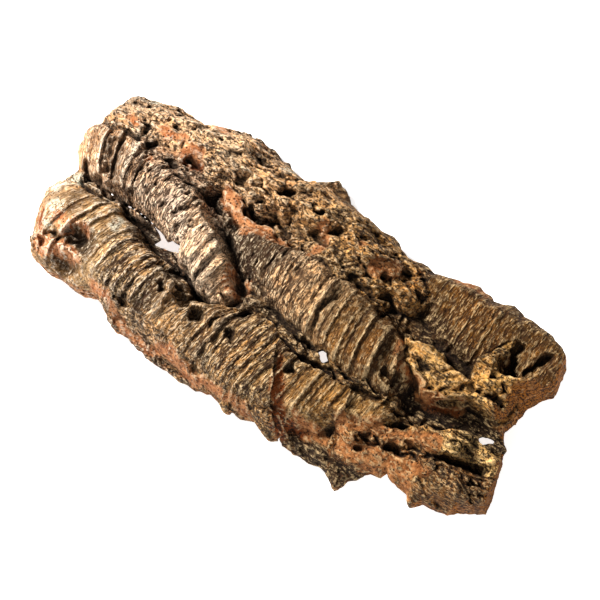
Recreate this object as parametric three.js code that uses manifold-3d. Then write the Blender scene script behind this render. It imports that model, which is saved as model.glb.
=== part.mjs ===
// A slab of virgin cork bark, lying with its weathered outer face up.
// The bark is one piece: an arched shell whose outer face is swollen into long pleated ribs.
// Deep furrows part the ribs, and where two furrows have split the shell they go right through it.
// Millimetres, +Z up. In plan x runs along the slab and y across it.
// At the end the slab is set on the middle of its base.
import * as THREE from "three";
import { mergeVertices } from "three/addons/utils/BufferGeometryUtils.js";
import Module from "manifold-3d";

// The arched shell
const ARCH_RADIUS = 150; // inner face, across the slab
const ARCH_MIDDLE = 6; // y of the arch's crown line
const HOLLOW_HEIGHT = 27; // inner face above the ground at the crown
const EDGE_LIFT = 2.5; // least height of the inner face away from the feet
const SHELL = 12; // bark under the ribs
const LEAST_BARK = 5; // bark left under the deepest hollow
const BARK_ABOVE = 90; // clear of the highest rib
const BELOW_GROUND = -30;
const ROUND_OVER = 15; // weathered ends and edges roll down over this distance
const SAWN_FROM = 138; // x beyond which the end is sawn square and doesn't roll down
const SAWN_BLEND = 25;

// Places where the inner face comes down to the ground: x, y
const FEET = [
  [-140, -54],
  [76, -64],
  [-30, 82],
];
const FOOT_RADIUS = 16;
const FOOT_SINK = -3; // trimmed off at the ground, which leaves a flat spot

// Rim of the slab in plan, anticlockwise from the low left corner
const RAGGED_EDGE = [
  [-182, -57], [-176, -64], [-160, -67], [-148, -65], [-134, -66], [-127, -62], [-118, -62],
  [-111, -68], [-101, -74], [-82, -73], [-79, -76], [-50, -77], [-28, -78], [-17, -73], [-11, -74],
  [-2, -79], [0, -76], [9, -76], [17, -72], [32, -77], [38, -72], [43, -76], [73, -74], [86, -80],
  [91, -71], [98, -67], [102, -61], [108, -60], [111, -54], [117, -58], [129, -60], [134, -65],
  [140, -59], [156, -55],
];
const SAWN_END = [
  [177, -44], [171, -20], [168, -11], [169, -3], [163, -2], [167, 3], [169, 11], [170, 28],
  [174, 40], [171, 52], [168, 62], [161, 67],
];
const FAR_EDGE = [
  [153, 71], [136, 73], [121, 77], [108, 72], [95, 77], [81, 74], [69, 69], [55, 71], [43, 69],
  [26, 79], [3, 79], [-7, 82], [-18, 87], [-34, 97], [-43, 87], [-52, 81], [-68, 86], [-84, 90],
  [-107, 94], [-117, 85], [-128, 76], [-152, 78], [-164, 80], [-177, 75],
];
const WEATHERED_END = [
  [-186, 66], [-184, 50], [-187, 40], [-190, 27], [-186, 12], [-180, 2], [-181, -6], [-184, -14],
  [-187, -27], [-182, -43], [-181, -54],
];
const RIM = [...RAGGED_EDGE, ...SAWN_END, ...FAR_EDGE, ...WEATHERED_END];

// Flanks of a rib across its width: full and round, or an even slope like a leaning panel
const ROUND_FLANK = [2.2, 0.65];
const SLOPED_FLANK = [1.15, 1];

// Swollen ribs along paths of x, y, half-width, height above the shell
const RIBS = {
  lower: [
    [-176, -33, 23, 19], [-140, -37, 28, 25], [-105, -40, 22, 25], [-80, -42, 18, 23],
    [-55, -48, 18, 21], [-25, -46, 23, 22], [0, -44, 29, 25], [22, -46, 24, 23],
    [42, -42, 18, 21], [62, -35, 13, 17], [88, -29, 10, 13],
  ],
  middle: [
    [-180, 18, 21, 20], [-150, 15, 24, 26], [-125, 14, 23, 29], [-100, 12, 20, 28],
    [-80, 5, 17, 27], [-64, -6, 18, 25], [-50, -14, 15, 21], [-40, -20, 9, 13],
  ],
  right: [
    [-58, 20, 11, 9], [-38, 14, 19, 17], [-12, 10, 24, 25], [12, 8, 26, 29],
    [40, 2, 26, 29], [64, -3, 24, 27], [80, -7, 17, 23],
  ],
  upper: [
    [-174, 52, 23, 22], [-140, 56, 26, 24], [-105, 63, 27, 25], [-70, 62, 24, 21],
    [-35, 63, 22, 20], [0, 60, 21, 20], [34, 54, 20, 18], [62, 48, 15, 17],
  ],
  saddle: [[-12, -13, 13, 10], [16, -20, 16, 14], [45, -22, 16, 14], [66, -23, 14, 13], [86, -20, 12, 9]],
  leftSaddle: [[-182, -3, 10, 8], [-152, -6, 12, 12], [-134, -7, 10, 8], [-126, -7, 6, 3]],
  shoulder: [[-176, 38, 14, 15], [-140, 41, 14, 20], [-110, 41, 14, 21], [-96, 38, 9, 15]],
  brow: [[-34, 36, 10, 9], [-12, 33, 12, 13], [20, 34, 14, 18], [45, 30, 12, 14]],
  wedge: [[112, 22, 4, 10], [119, 35, 5, 17], [128, 45, 5, 19], [138, 53, 5, 16]],
  crumbled: [
    [92, -46, 10, 9], [112, -38, 9, 10], [126, -33, 9, 12], [146, -19, 11, 17], [178, -16, 12, 16],
  ],
  corner: [[112, -52, 8, 6], [128, -49, 10, 10], [146, -43, 13, 14], [182, -38, 16, 15]],
  panel: [[66, 66, 26, 16], [95, 66, 40, 21], [125, 66, 40, 23], [170, 62, 34, 22]],
};
const SLOPED = ["panel"]; // ribs with sloped flanks
const BROADER = { lower: 1.4 }; // how much farther a rib reaches on its near side

// Plates with a broken edge all round: outline in plan, height at the middle, rise along x and y
const PLATES = {
  ledge: {
    outline: [
      [77, 17], [78, 11], [82, 6], [90, 1], [97, -2], [106, -6], [113, -8], [120, -6], [127, -1],
      [132, 1], [142, -2], [151, -4], [170, -6], [184, -5], [184, 46], [169, 42], [157, 36],
      [147, 29], [138, 32], [130, 27], [129, 17], [119, 16], [110, 18], [100, 24], [92, 20],
      [86, 17], [81, 21],
    ],
    middle: [122, 13],
    height: 20,
    rise: [0.09, 0.1],
    edge: 5,
  },
  shelf: {
    outline: [
      [-84, 38], [-76, 42], [-66, 40], [-58, 36], [-48, 32], [-36, 36], [-26, 38], [-18, 32],
      [-26, 26], [-40, 24], [-50, 20], [-58, 18], [-66, 24], [-76, 30],
    ],
    middle: [-50, 31],
    height: 9,
    rise: [0.02, 0.1],
    edge: 2.5,
  },
};

// Pleats across a rib: how far they lean along x for each millimetre of y, then crests as x, height
const PLEATS = {
  lower: {
    lean: [[-180, 0.34], [-60, 0.3], [0, 0.26], [80, 0.2]],
    crests: [
      [-170, 1.5], [-161, 2], [-150, 4.2], [-140, 3], [-129, 1.8], [-122, 1.4], [-114, 3], [-108, 2],
      [-103, 1.4], [-96, 3.8], [-90, 1.8], [-83, 4], [-78, 1.5], [-67, 2.5], [-55, 2], [-49, 2],
      [-43, 2], [-34, 1.5], [-25, 4], [-18, 2.5], [-8, 2], [-1, 2.2], [5, 2.4], [10, 2.6], [16, 2.4],
      [24, 3.6], [36, 1], [47, 3], [52, 2.6], [58, 2.2], [65, 1.2], [73, 4], [86, 2.6],
    ],
  },
  middle: {
    lean: [[-185, -0.6], [-150, -0.55], [-125, -0.1], [-95, 0.08], [-60, 0.2], [-40, 0.3]],
    crests: [
      [-173, 3], [-162, 3.6], [-151, 4], [-137, 3.6], [-127, 2], [-119, 1.6], [-112, 1.8], [-106, 1.4],
      [-100, 1.8], [-94, 1.6], [-88, 2], [-83, 1.6], [-77, 2.2], [-71, 1.8], [-64, 2.4], [-57, 4],
      [-49, 3.6], [-43, 2.4], [-37, 2],
    ],
  },
  right: {
    lean: [[-60, -0.02], [0, -0.1], [80, -0.12]],
    crests: [
      [-49, 1], [-43, 1.6], [-39, 1.2], [-34, 1.4], [-30, 1.6], [-25, 1.6], [-21, 1.2], [-16, 2],
      [-6, 2], [1, 1.4], [7, 2], [13, 2], [19, 1.4], [25, 5], [34, 1.2], [40, 3.2], [50, 3.6],
      [54, 2.6], [61, 3.2], [73, 4.2], [86, 2.6],
    ],
  },
  panel: {
    lean: [[60, 0.08], [160, 0.08]],
    crests: [
      [74, 1.5], [79, 1.2], [85, 2.4], [90, 1.6], [96, 2], [101, 1.4], [106, 2.6], [112, 2.4],
      [117, 1.8], [121, 2.2], [127, 1.4], [137, 1.5], [143, 1.4], [150, 1.8], [160, 1.5], [165, 1.5],
    ],
  },
};
const PLEAT_CURVE = 1.5; // how hollow the facet between two crests is
const PLEAT_SHARE = 0.35; // share of a crest's height that lies below the rib's own surface

// Furrows, clefts and slots cut along paths of x, y, half-width, depth
const FURROWS = {
  middle: [
    [-86, 30, 7, 15], [-70, 15, 6, 11], [-56, 10, 5, 10], [-45, 4, 5, 10], [-32, -1, 5, 9],
    [-20, -4, 4, 7], [-6, -9, 4, 6], [20, -20, 4, 5], [42, -20, 4, 6], [62, -25, 4, 7], [84, -24, 5, 7],
  ],
  lower: [[-170, 0, 4, 10], [-148, -4, 4, 14], [-112, -5, 4, 8], [-92, -11, 5, 5], [-78, -15, 4, 6]],
  pocket: [[78, 32, 9, 11], [92, 27, 9, 11], [108, 24, 7, 12], [124, 22, 6, 11]],
  deepPocket: [[131, 48, 6, 14], [136, 40, 9, 18], [142, 38, 8, 16]],
  notch: [[155, 40, 4, 10], [160, 54, 4, 12]],
  slot: [[85, -9, 7, 8], [106, -14, 8, 6], [128, -5, 7, 9], [148, -4, 6, 9], [180, -6, 6, 8]],
  cleft: [[96, -46, 4, 5], [110, -45, 4, 7], [122, -44, 4, 5]],
  endCleft: [[140, -39, 4, 6], [152, -35, 5, 9], [164, -30, 5, 7]],
  far: [[-54, 46, 4, 7], [-40, 45, 4, 8], [-30, 44, 4, 7]],
  farEdge: [[10, 69, 4, 4], [28, 67, 4, 5], [44, 62, 5, 5]],
  facet: [[-157, 25, 8, 7], [-147, 7, 8, 9]],
  fold: [[32, 21, 4, 3], [28, 6, 4.5, 6], [29, -10, 4.5, 6], [30, -18, 4, 4]],
};

// Eroded hollows: x, y, half-length along x, half-width along y, depth
const HOLLOWS = [
  [-146, -45, 14, 9, 14], [-156, -51, 9, 3, 7], [-152, -60, 11, 5, 10], [-167, -55, 5, 3, 6],
  [-88, -58, 8, 4, 9], [-77, -26, 9, 4, 10], [-58, -36, 7, 6, 11], [-43, -42, 8, 7, 14],
  [-34, -22, 7, 3.5, 10], [-14, -42, 6, 5, 8], [-16, -25, 5, 5, 6], [-30, -68, 7, 5, 8],
  [31, -40, 5, 4, 8], [-108, 42, 6, 5, 10], [-149, 45, 5, 5, 8], [-139, 38, 5, 5, 7],
  [-118, 68, 8, 5, 6], [-73, 51, 6, 5, 8], [-58, 36, 5, 5, 11], [-41, 61, 5, 4, 9],
  [-44, 57, 4, 3, 7], [-29, 37, 6, 5, 8], [0, 54, 7, 7, 13], [-6, 45, 8, 5, 12], [-10, 35, 4, 4, 6],
  [48, 44, 6, 5, 9], [54, 34, 8, 5, 10], [59, 23, 6, 6, 9], [76, 44, 5, 5, 7], [-125, -2, 5, 4, 8],
];

// Lips where one pleat stands over the next: the face steps up on the left of the path
// (down, where the step is negative) and the step fades away from it
const LIPS = [
  { path: [[-60, -32], [-69, -36], [-69, -44], [-72, -58]], step: 5, fade: 14 },
  { path: [[72, 6], [72, -40]], step: -3, fade: 9 },
  { path: [[80, 14], [87, -6], [89, -22]], step: -7, fade: 10 },
  { path: [[-58, 6], [-60, -26]], step: -3, fade: 8 },
  { path: [[-22, -20], [-30, -44]], step: -5, fade: 8 },
];
const LIP_END = 5; // a lip dies out over this distance past the ends of its path

// Splits right through the shell, in plan at the height of the ribs; they lean as the furrows do
const SPLITS = [
  [
    [-149, -2.5], [-137, -4.2], [-123, -3.2], [-112, -4.3], [-100, -7], [-93, -10], [-91, -8],
    [-83, -7.5], [-80, -13], [-90, -16], [-101, -18.5], [-97, -12.5], [-104, -9], [-112, -6.3],
    [-123, -5], [-137, -6], [-149, -4.2],
  ],
  [[35, -19], [38, -16.5], [42, -16], [46, -21], [43, -24]],
  [[150, -12], [156, -9], [164, -6.5], [166, -9], [158, -13]],
];
const SPLIT_HEIGHT = 45; // height at which the outlines above hold
const SPLIT_LEAN = [0.32, -0.21]; // plan shift for each millimetre of height

// The weathered band along the far edge
const CRUMBLE_HEIGHT = 2.4; // lumps on the weathered band and the broken edges
const BAND_FROM = 36; // the weathered band starts at this y and is full at the next
const BAND_FULL = 48;
const BAND_END = 68; // x where the band gives way to the far panel

// Facets of the outer and the inner face
const OUTER_FACETS = [114, 48];
const INNER_FACETS = [38, 20];
const PLAN_SIZE = [384, 194];
const PLAN_MIDDLE = [-6.5, 8.5];

const { clamp, lerp, smoothstep } = THREE.MathUtils;
const { Manifold, Mesh } = await loadManifold();

async function loadManifold() {
  const wasm = await Module();
  wasm.setup();
  return wasm;
}

// A closed solid from a three.js geometry, its shared corners merged.
function solidOf(geometry) {
  const bare = geometry.clone();
  bare.deleteAttribute("normal");
  bare.deleteAttribute("uv");
  const merged = mergeVertices(bare, 1e-3);
  return new Manifold(
    new Mesh({
      numProp: 3,
      vertProperties: merged.attributes.position.array,
      triVerts: new Uint32Array(merged.index.array),
    }),
  );
}

function geometryOf(solid) {
  const { numProp, vertProperties, triVerts } = solid.getMesh();
  const points = new Float32Array((vertProperties.length / numProp) * 3);
  for (let i = 0; i < points.length / 3; i++) {
    points.set(vertProperties.subarray(i * numProp, i * numProp + 3), i * 3);
  }
  const geometry = new THREE.BufferGeometry();
  geometry.setAttribute("position", new THREE.BufferAttribute(points, 3));
  geometry.setIndex(new THREE.BufferAttribute(triVerts, 1));
  return geometry;
}

// The point of a path nearest to x, y: its distance, the side x, y lies on (positive on the left),
// how far x, y lies past the path's ends, and the values that the path carries there.
function nearestOnPath(x, y, path) {
  const last = path.length - 2;
  let best = { distance: Infinity };
  for (let i = 0; i <= last; i++) {
    const [from, to] = [path[i], path[i + 1]];
    const along = [to[0] - from[0], to[1] - from[1]];
    const reach = Math.hypot(...along);
    const free = ((x - from[0]) * along[0] + (y - from[1]) * along[1]) / reach ** 2;
    const t = clamp(free, 0, 1);
    const off = [x - from[0] - t * along[0], y - from[1] - t * along[1]];
    const distance = Math.hypot(...off);
    if (distance < best.distance) {
      const side = Math.sign(along[0] * off[1] - along[1] * off[0]);
      const past = (i === 0 && free < 0) || (i === last && free > 1) ? Math.abs(free - t) * reach : 0;
      const values = from.map((value, k) => lerp(value, to[k], t)).slice(2);
      best = { distance, side, past, values };
    }
  }
  return best;
}

// A swelling across a path: 1 on the path and 0 at its half-width.
function swelling(distance, halfWidth, [fullness, steepness]) {
  const share = Math.min(1, distance / halfWidth);
  return Math.pow(1 - Math.pow(share, fullness), steepness);
}

// A bowl or groove: deepest on its path, with an even slope to its rim.
function bowl(distance, halfWidth) {
  const share = Math.min(1, distance / halfWidth);
  return (1 - share * share) ** 2;
}

// Height of a plain arch across the slab.
function archHeight(y) {
  return Math.sqrt(ARCH_RADIUS ** 2 - (y - ARCH_MIDDLE) ** 2) - ARCH_RADIUS + HOLLOW_HEIGHT;
}

// Height of the inner face: the arch with a slow ripple, brought down below the ground at its feet.
function innerHeight(x, y) {
  const ripple = 1.2 * Math.sin(x / 23 + y / 31) + 0.8 * Math.sin(x / 11 - y / 17);
  let height = Math.max(EDGE_LIFT, archHeight(y) + ripple);
  for (const [footX, footY] of FEET) {
    const away = Math.hypot(x - footX, y - footY) / FOOT_RADIUS;
    height = lerp(height, FOOT_SINK, Math.exp(-(away ** 4)));
  }
  return height;
}

// The value of a table of x, value rows at x, blended between its rows.
function tableValue(x, table) {
  const next = table.findIndex(([place]) => place > x);
  if (next <= 0) return table.at(next)[1];
  const [from, to] = [table[next - 1], table[next]];
  return lerp(from[1], to[1], (x - from[0]) / (to[0] - from[0]));
}

// Pleats across a rib: facets that rise to a crest and drop behind it.
function pleatHeight(x, y, { lean, crests }, path) {
  const q = x - tableValue(x, lean) * (y - tableValue(x, path));
  const found = crests.findIndex(([place]) => place > q);
  const next = found < 0 ? crests.length - 1 : Math.max(1, found);
  const [from, to] = [crests[next - 1], crests[next]];
  const t = clamp((q - from[0]) / (to[0] - from[0]), 0, 1);
  const height = 0.5 * to[1] + 0.17 * to[1] ** 2;
  return height * (t ** PLEAT_CURVE - PLEAT_SHARE);
}

// Lumps of the crumbling bark between the ribs.
function crumble(x, y) {
  return Math.sin(x / 6.3 + 1.7 * Math.sin(y / 9)) * Math.sin(y / 5.1 + 1.3 * Math.sin(x / 13));
}

// How far x, y lies inside a closed outline, by its distance and by the edges crossed on the way out.
function insideDepth(x, y, outline) {
  const { distance } = nearestOnPath(x, y, [...outline, outline[0]]);
  const crossed = outline.filter((from, i) => {
    const to = outline[(i + 1) % outline.length];
    const spans = from[1] > y !== to[1] > y;
    return spans && x < from[0] + ((y - from[1]) * (to[0] - from[0])) / (to[1] - from[1]);
  });
  return crossed.length % 2 ? distance : -distance;
}

// How far the outer face has rolled down towards the rim: 1 away from it and along the sawn end.
function rollOver(x, y) {
  const sawn = smoothstep(x, SAWN_FROM - SAWN_BLEND, SAWN_FROM);
  return Math.max(sawn, smoothstep(insideDepth(x, y, RIM), -ROUND_OVER, 0.8 * ROUND_OVER));
}

// Height of a plate over the shell: a tilted top with a broken edge all round.
function plateHeight(x, y, { outline, middle, height, rise, edge }) {
  const tilted = height + rise[0] * (x - middle[0]) + rise[1] * (y - middle[1]);
  return tilted * Math.sqrt(smoothstep(insideDepth(x, y, outline), -1, edge));
}

// The highest rib or plate over the shell, with its pleats if it has any.
function ribAt(x, y) {
  let top = { height: 0, pleat: 0, pleated: false };
  for (const [name, path] of Object.entries(RIBS)) {
    const near = nearestOnPath(x, y, path);
    const [halfWidth, crown] = near.values;
    const reach = near.side < 0 && name in BROADER ? halfWidth * BROADER[name] : halfWidth;
    const flank = SLOPED.includes(name) ? SLOPED_FLANK : ROUND_FLANK;
    const height = crown * swelling(near.distance, reach, flank);
    if (height > top.height) {
      const pleated = name in PLEATS;
      const pleat = pleated ? pleatHeight(x, y, PLEATS[name], path) : 0;
      top = { height, pleat, pleated };
    }
  }
  for (const plate of Object.values(PLATES)) {
    const height = plateHeight(x, y, plate);
    if (height > top.height) top = { height, pleat: 0, pleated: false };
  }
  return top;
}

// Height of the outer face: the shell, the highest rib over it, then pleats, lips, furrows, hollows.
function outerHeight(x, y) {
  const rolled = rollOver(x, y);
  const rib = ribAt(x, y);
  const onRib = smoothstep(rib.height, 3, 12);
  const onBand = x < BAND_END ? smoothstep(y, BAND_FROM, BAND_FULL) : 0;
  const weathered = rib.pleated ? Math.max(onBand, 1 - onRib) : 1;
  let relief = rib.height + rib.pleat * (1 - weathered);
  relief += CRUMBLE_HEIGHT * crumble(x, y) * weathered;
  for (const { path, step, fade } of LIPS) {
    const near = nearestOnPath(x, y, path);
    const strength = near.side > 0 ? Math.exp(-near.distance / fade - (near.past / LIP_END) ** 2) : 0;
    relief += step * strength;
  }
  for (const path of Object.values(FURROWS)) {
    const near = nearestOnPath(x, y, path);
    const [halfWidth, depth] = near.values;
    relief -= depth * bowl(near.distance, halfWidth);
  }
  for (const [hx, hy, length, width, depth] of HOLLOWS) {
    relief -= depth * bowl(Math.hypot((x - hx) / length, (y - hy) / width), 1);
  }
  const shell = Math.max(EDGE_LIFT, archHeight(y)) + SHELL * (0.45 + 0.55 * rolled);
  const height = shell + Math.max(-0.5 * SHELL, relief) * rolled;
  return Math.max(height, innerHeight(x, y) + LEAST_BARK);
}

// A block over the whole plan: its top follows a height formula, its bottom is flat.
function blockUnder(heightAt, facets, bottom) {
  const geometry = new THREE.BoxGeometry(PLAN_SIZE[0], PLAN_SIZE[1], 1, facets[0], facets[1], 1);
  geometry.translate(PLAN_MIDDLE[0], PLAN_MIDDLE[1], 0);
  const position = geometry.getAttribute("position");
  for (let i = 0; i < position.count; i++) {
    const top = position.getZ(i) > 0;
    position.setZ(i, top ? heightAt(position.getX(i), position.getY(i)) : bottom);
  }
  return solidOf(geometry);
}

// An upright prism on a plan outline, between two heights.
function prism(outline, low, high) {
  const shape = new THREE.Shape(outline.map(([x, y]) => new THREE.Vector2(x, y)));
  const geometry = new THREE.ExtrudeGeometry(shape, { depth: high - low, bevelEnabled: false });
  return geometry.translate(0, 0, low);
}

// A split leans through the shell, along the furrow that opened it.
function split(outline) {
  const geometry = prism(outline, BELOW_GROUND, BARK_ABOVE);
  geometry.translate(0, 0, -SPLIT_HEIGHT);
  geometry.applyMatrix4(new THREE.Matrix4().makeShear(0, 0, 0, 0, SPLIT_LEAN[0], SPLIT_LEAN[1]));
  geometry.translate(0, 0, SPLIT_HEIGHT);
  return solidOf(geometry);
}

function corkBark() {
  const ground = new THREE.BoxGeometry(2 * PLAN_SIZE[0], 2 * PLAN_SIZE[1], 100).translate(0, 0, -50);
  let bark = blockUnder(outerHeight, OUTER_FACETS, BELOW_GROUND)
    .subtract(blockUnder(innerHeight, INNER_FACETS, 2 * BELOW_GROUND))
    .intersect(solidOf(prism(RIM, 2 * BELOW_GROUND, BARK_ABOVE)))
    .subtract(solidOf(ground));
  for (const outline of SPLITS) bark = bark.subtract(split(outline));
  return bark;
}

// The origin is the middle of the base: the plan is moved so that its box is centred there.
function setOnBaseCentre(geometry) {
  geometry.computeBoundingBox();
  const middle = geometry.boundingBox.getCenter(new THREE.Vector3());
  return geometry.translate(-middle.x, -middle.y, 0);
}

const cork = new THREE.MeshStandardMaterial({ color: 0x8f7257, roughness: 0.95, metalness: 0 });
const slab = new THREE.Mesh(setOnBaseCentre(geometryOf(corkBark())), cork);
slab.name = "cork_bark_slab";

const group = new THREE.Group();
group.add(slab);
export default group;
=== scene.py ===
"""A slab of virgin cork bark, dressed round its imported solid.

The bark is worked out as one solid field on a fine grid of points, in millimetres of the slab's plan:
height maps give the ribs, pleats, furrows and pits of the outer face, the arched inner face and the
ragged rim, and noise in space gives the crumbling cork. The field's zero surface becomes the mesh.
"""

import bpy
import numpy as np
from mathutils import Matrix, Vector


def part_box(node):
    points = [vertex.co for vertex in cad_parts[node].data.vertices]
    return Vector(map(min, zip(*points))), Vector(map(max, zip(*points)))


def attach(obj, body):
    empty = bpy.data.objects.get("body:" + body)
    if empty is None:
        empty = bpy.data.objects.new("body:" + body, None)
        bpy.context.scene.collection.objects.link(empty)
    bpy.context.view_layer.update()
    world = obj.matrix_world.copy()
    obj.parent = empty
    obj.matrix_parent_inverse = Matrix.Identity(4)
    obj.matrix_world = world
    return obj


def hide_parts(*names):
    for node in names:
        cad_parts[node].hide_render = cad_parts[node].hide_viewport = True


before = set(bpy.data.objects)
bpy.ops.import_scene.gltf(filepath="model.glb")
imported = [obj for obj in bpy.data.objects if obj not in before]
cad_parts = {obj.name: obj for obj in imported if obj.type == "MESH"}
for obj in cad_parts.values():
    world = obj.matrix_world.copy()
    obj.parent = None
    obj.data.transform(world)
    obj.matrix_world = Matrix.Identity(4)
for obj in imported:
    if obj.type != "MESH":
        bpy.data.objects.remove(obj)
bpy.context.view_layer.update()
NODE = "cork_bark_slab"
MM = 0.001

# Grid of the solid field, and the face count that the finished mesh is thinned to
STEP = 0.75
MARGIN = 4.5
TRIANGLES = 190000
SEED = 7

# The arched shell, in millimetres
ARCH_RADIUS = 150
ARCH_MIDDLE = 6
HOLLOW_HEIGHT = 27
EDGE_LIFT = 2.5
SHELL = 12
ROUND_OVER = 15
SAWN_FROM = 138
SAWN_BLEND = 25

# Lean of the sawn face: places along y, its retreat there for each millimetre of height, and from where
SLANT_PLACES = (-60, -40, -20, -10, -2, 4, 25, 43, 60)
SLANT = (0.02, 0.06, 0.08, 0.06, 0.1, 0.35, 0.4, 0.1, 0.05)
SLANT_FROM = 12

# Low spots of the inner face that the slab rests on
FEET = [(-140, -54), (76, -64), (-30, 82)]
FOOT_RADIUS = 16
FOOT_SINK = -3  # drawn below the floor, which cuts it flat

# Rim of the slab in plan, anticlockwise from the near corner of the weathered end
RAGGED_EDGE = [
    (-182, -57), (-176, -64), (-160, -67), (-148, -65), (-134, -66), (-127, -62), (-118, -62),
    (-111, -68), (-101, -74), (-82, -73), (-79, -76), (-50, -77), (-28, -78), (-17, -73), (-11, -74),
    (-2, -79), (0, -76), (9, -76), (17, -72), (32, -77), (38, -72), (43, -76), (73, -74), (86, -80),
    (91, -71), (98, -67), (102, -61), (108, -60), (111, -54), (117, -58), (129, -60), (134, -65),
    (140, -59), (156, -55),
]
SAWN_END = [
    (177, -44), (171, -20), (169, -11), (168, -5), (165, -2), (167, 3), (169, 11), (170, 28),
    (174, 40), (171, 52), (168, 62), (161, 67),
]
FAR_EDGE = [
    (153, 71), (136, 73), (121, 77), (108, 72), (95, 77), (81, 74), (69, 69), (55, 71), (43, 69),
    (26, 79), (3, 79), (-7, 82), (-18, 87), (-34, 97), (-43, 87), (-52, 81), (-68, 86), (-84, 90),
    (-107, 94), (-117, 85), (-128, 76), (-152, 78), (-164, 80), (-177, 75),
]
WEATHERED_END = [
    (-186, 66), (-184, 50), (-187, 40), (-190, 27), (-186, 12), (-180, 2), (-181, -6), (-184, -14),
    (-187, -27), (-182, -43), (-181, -54),
]
RIM = np.array(RAGGED_EDGE + SAWN_END + FAR_EDGE + WEATHERED_END, float)
RIM_SWELL = 0.8  # how far the bark stands out past these points
RIM_RAGGED = 1.2  # how far its edge wanders

# Flanks of a rib across its width, as powers: full and round, or an even slope like a leaning panel
ROUND_FLANK = (3.0, 0.6)
SLOPED_FLANK = (1.15, 1.0)

# Swollen ribs and ledges along paths of x, y, half-width, height above the shell
RIBS = {
    "lower": [
        (-176, -33, 23, 19), (-140, -37, 28, 25), (-105, -40, 22, 25), (-80, -42, 18, 23),
        (-55, -48, 18, 21), (-25, -46, 23, 22), (0, -44, 29, 25), (22, -46, 24, 23),
        (42, -42, 18, 21), (62, -35, 13, 17), (88, -29, 10, 13),
    ],
    "middle": [
        (-180, 18, 21, 20), (-150, 15, 24, 26), (-125, 14, 23, 29), (-100, 12, 20, 28),
        (-80, 5, 17, 27), (-64, -6, 18, 25), (-50, -14, 15, 21), (-40, -20, 9, 13),
    ],
    "right": [
        (-58, 20, 11, 9), (-38, 14, 19, 17), (-12, 10, 24, 25), (12, 8, 26, 29),
        (40, 2, 26, 29), (64, -3, 24, 27), (80, -7, 17, 23),
    ],
    "upper": [
        (-174, 52, 23, 22), (-140, 56, 26, 24), (-105, 63, 27, 25), (-70, 62, 24, 21),
        (-35, 63, 22, 20), (0, 60, 21, 20), (34, 54, 20, 18), (62, 48, 15, 17),
    ],
    "saddle": [
        (-12, -13, 13, 13), (16, -20, 16, 18), (45, -22, 16, 18), (66, -23, 15, 16), (86, -20, 13, 11),
    ],
    "left_saddle": [(-182, -3, 10, 8), (-152, -6, 12, 12), (-134, -7, 10, 8), (-126, -7, 6, 3)],
    "shoulder": [(-176, 38, 14, 15), (-140, 41, 14, 20), (-110, 41, 14, 21), (-96, 38, 9, 15)],
    "brow": [(-34, 36, 10, 9), (-12, 33, 12, 13), (20, 34, 14, 18), (45, 30, 12, 14)],
    "crumbled": [
        (74, -49, 7, 6), (90, -41, 8, 8), (103, -38, 8, 9), (118, -32, 8, 10), (131, -27, 9, 12),
        (146, -17, 11, 14), (160, -17, 9, 11), (178, -16, 9, 8),
    ],
    "salmon": [(78, -58, 10, 4), (94, -52, 13, 8), (110, -50, 12, 9), (124, -44, 9, 9), (134, -38, 7, 9)],
    "corner": [(112, -52, 8, 6), (128, -49, 10, 10), (146, -43, 13, 14), (182, -38, 16, 15)],
    "panel": [(66, 66, 26, 16), (95, 66, 40, 21), (125, 66, 40, 23), (170, 62, 34, 22)],
}
SLOPED = ("panel",)
BROADER = {"lower": 1.4}  # how much farther a rib reaches on its near side

# Plates with a broken edge all round: outline in plan, height at the middle, rise along x and y, edge width
PLATES = {
    "ledge": (
        [
            (77, 17), (78, 11), (82, 6), (90, 1), (97, -2), (106, -6), (113, -8), (120, -6), (127, -1),
            (132, 3), (146, 3), (160, 3), (170, -1), (184, -3), (184, 46), (169, 42), (157, 36),
            (147, 29), (138, 32), (130, 27), (129, 17), (119, 16), (110, 18), (100, 24), (92, 20),
            (86, 17), (81, 21),
        ],
        20, 0.09, 0.1, 2,
    ),
    "shelf": (
        [
            (-84, 38), (-76, 42), (-66, 40), (-58, 36), (-48, 32), (-36, 36), (-26, 38), (-18, 32),
            (-26, 26), (-40, 24), (-50, 20), (-58, 18), (-66, 24), (-76, 30),
        ],
        9, 0.02, 0.1, 2.5,
    ),
    "wedge": (
        [
            (127, 12), (125, 22), (126, 31), (129, 43), (134, 54), (140, 56), (138, 47), (136, 38),
            (137, 31), (135, 22), (133, 12),
        ],
        19, 0, -0.1, 2,
    ),
}
FORMS = ["shell", *RIBS, *PLATES]

# Forms whose bark is flaky all over
FLAKY = (
    "upper", "crumbled", "salmon", "corner", "ledge", "wedge", "saddle", "left_saddle", "shoulder", "brow",
)

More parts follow.
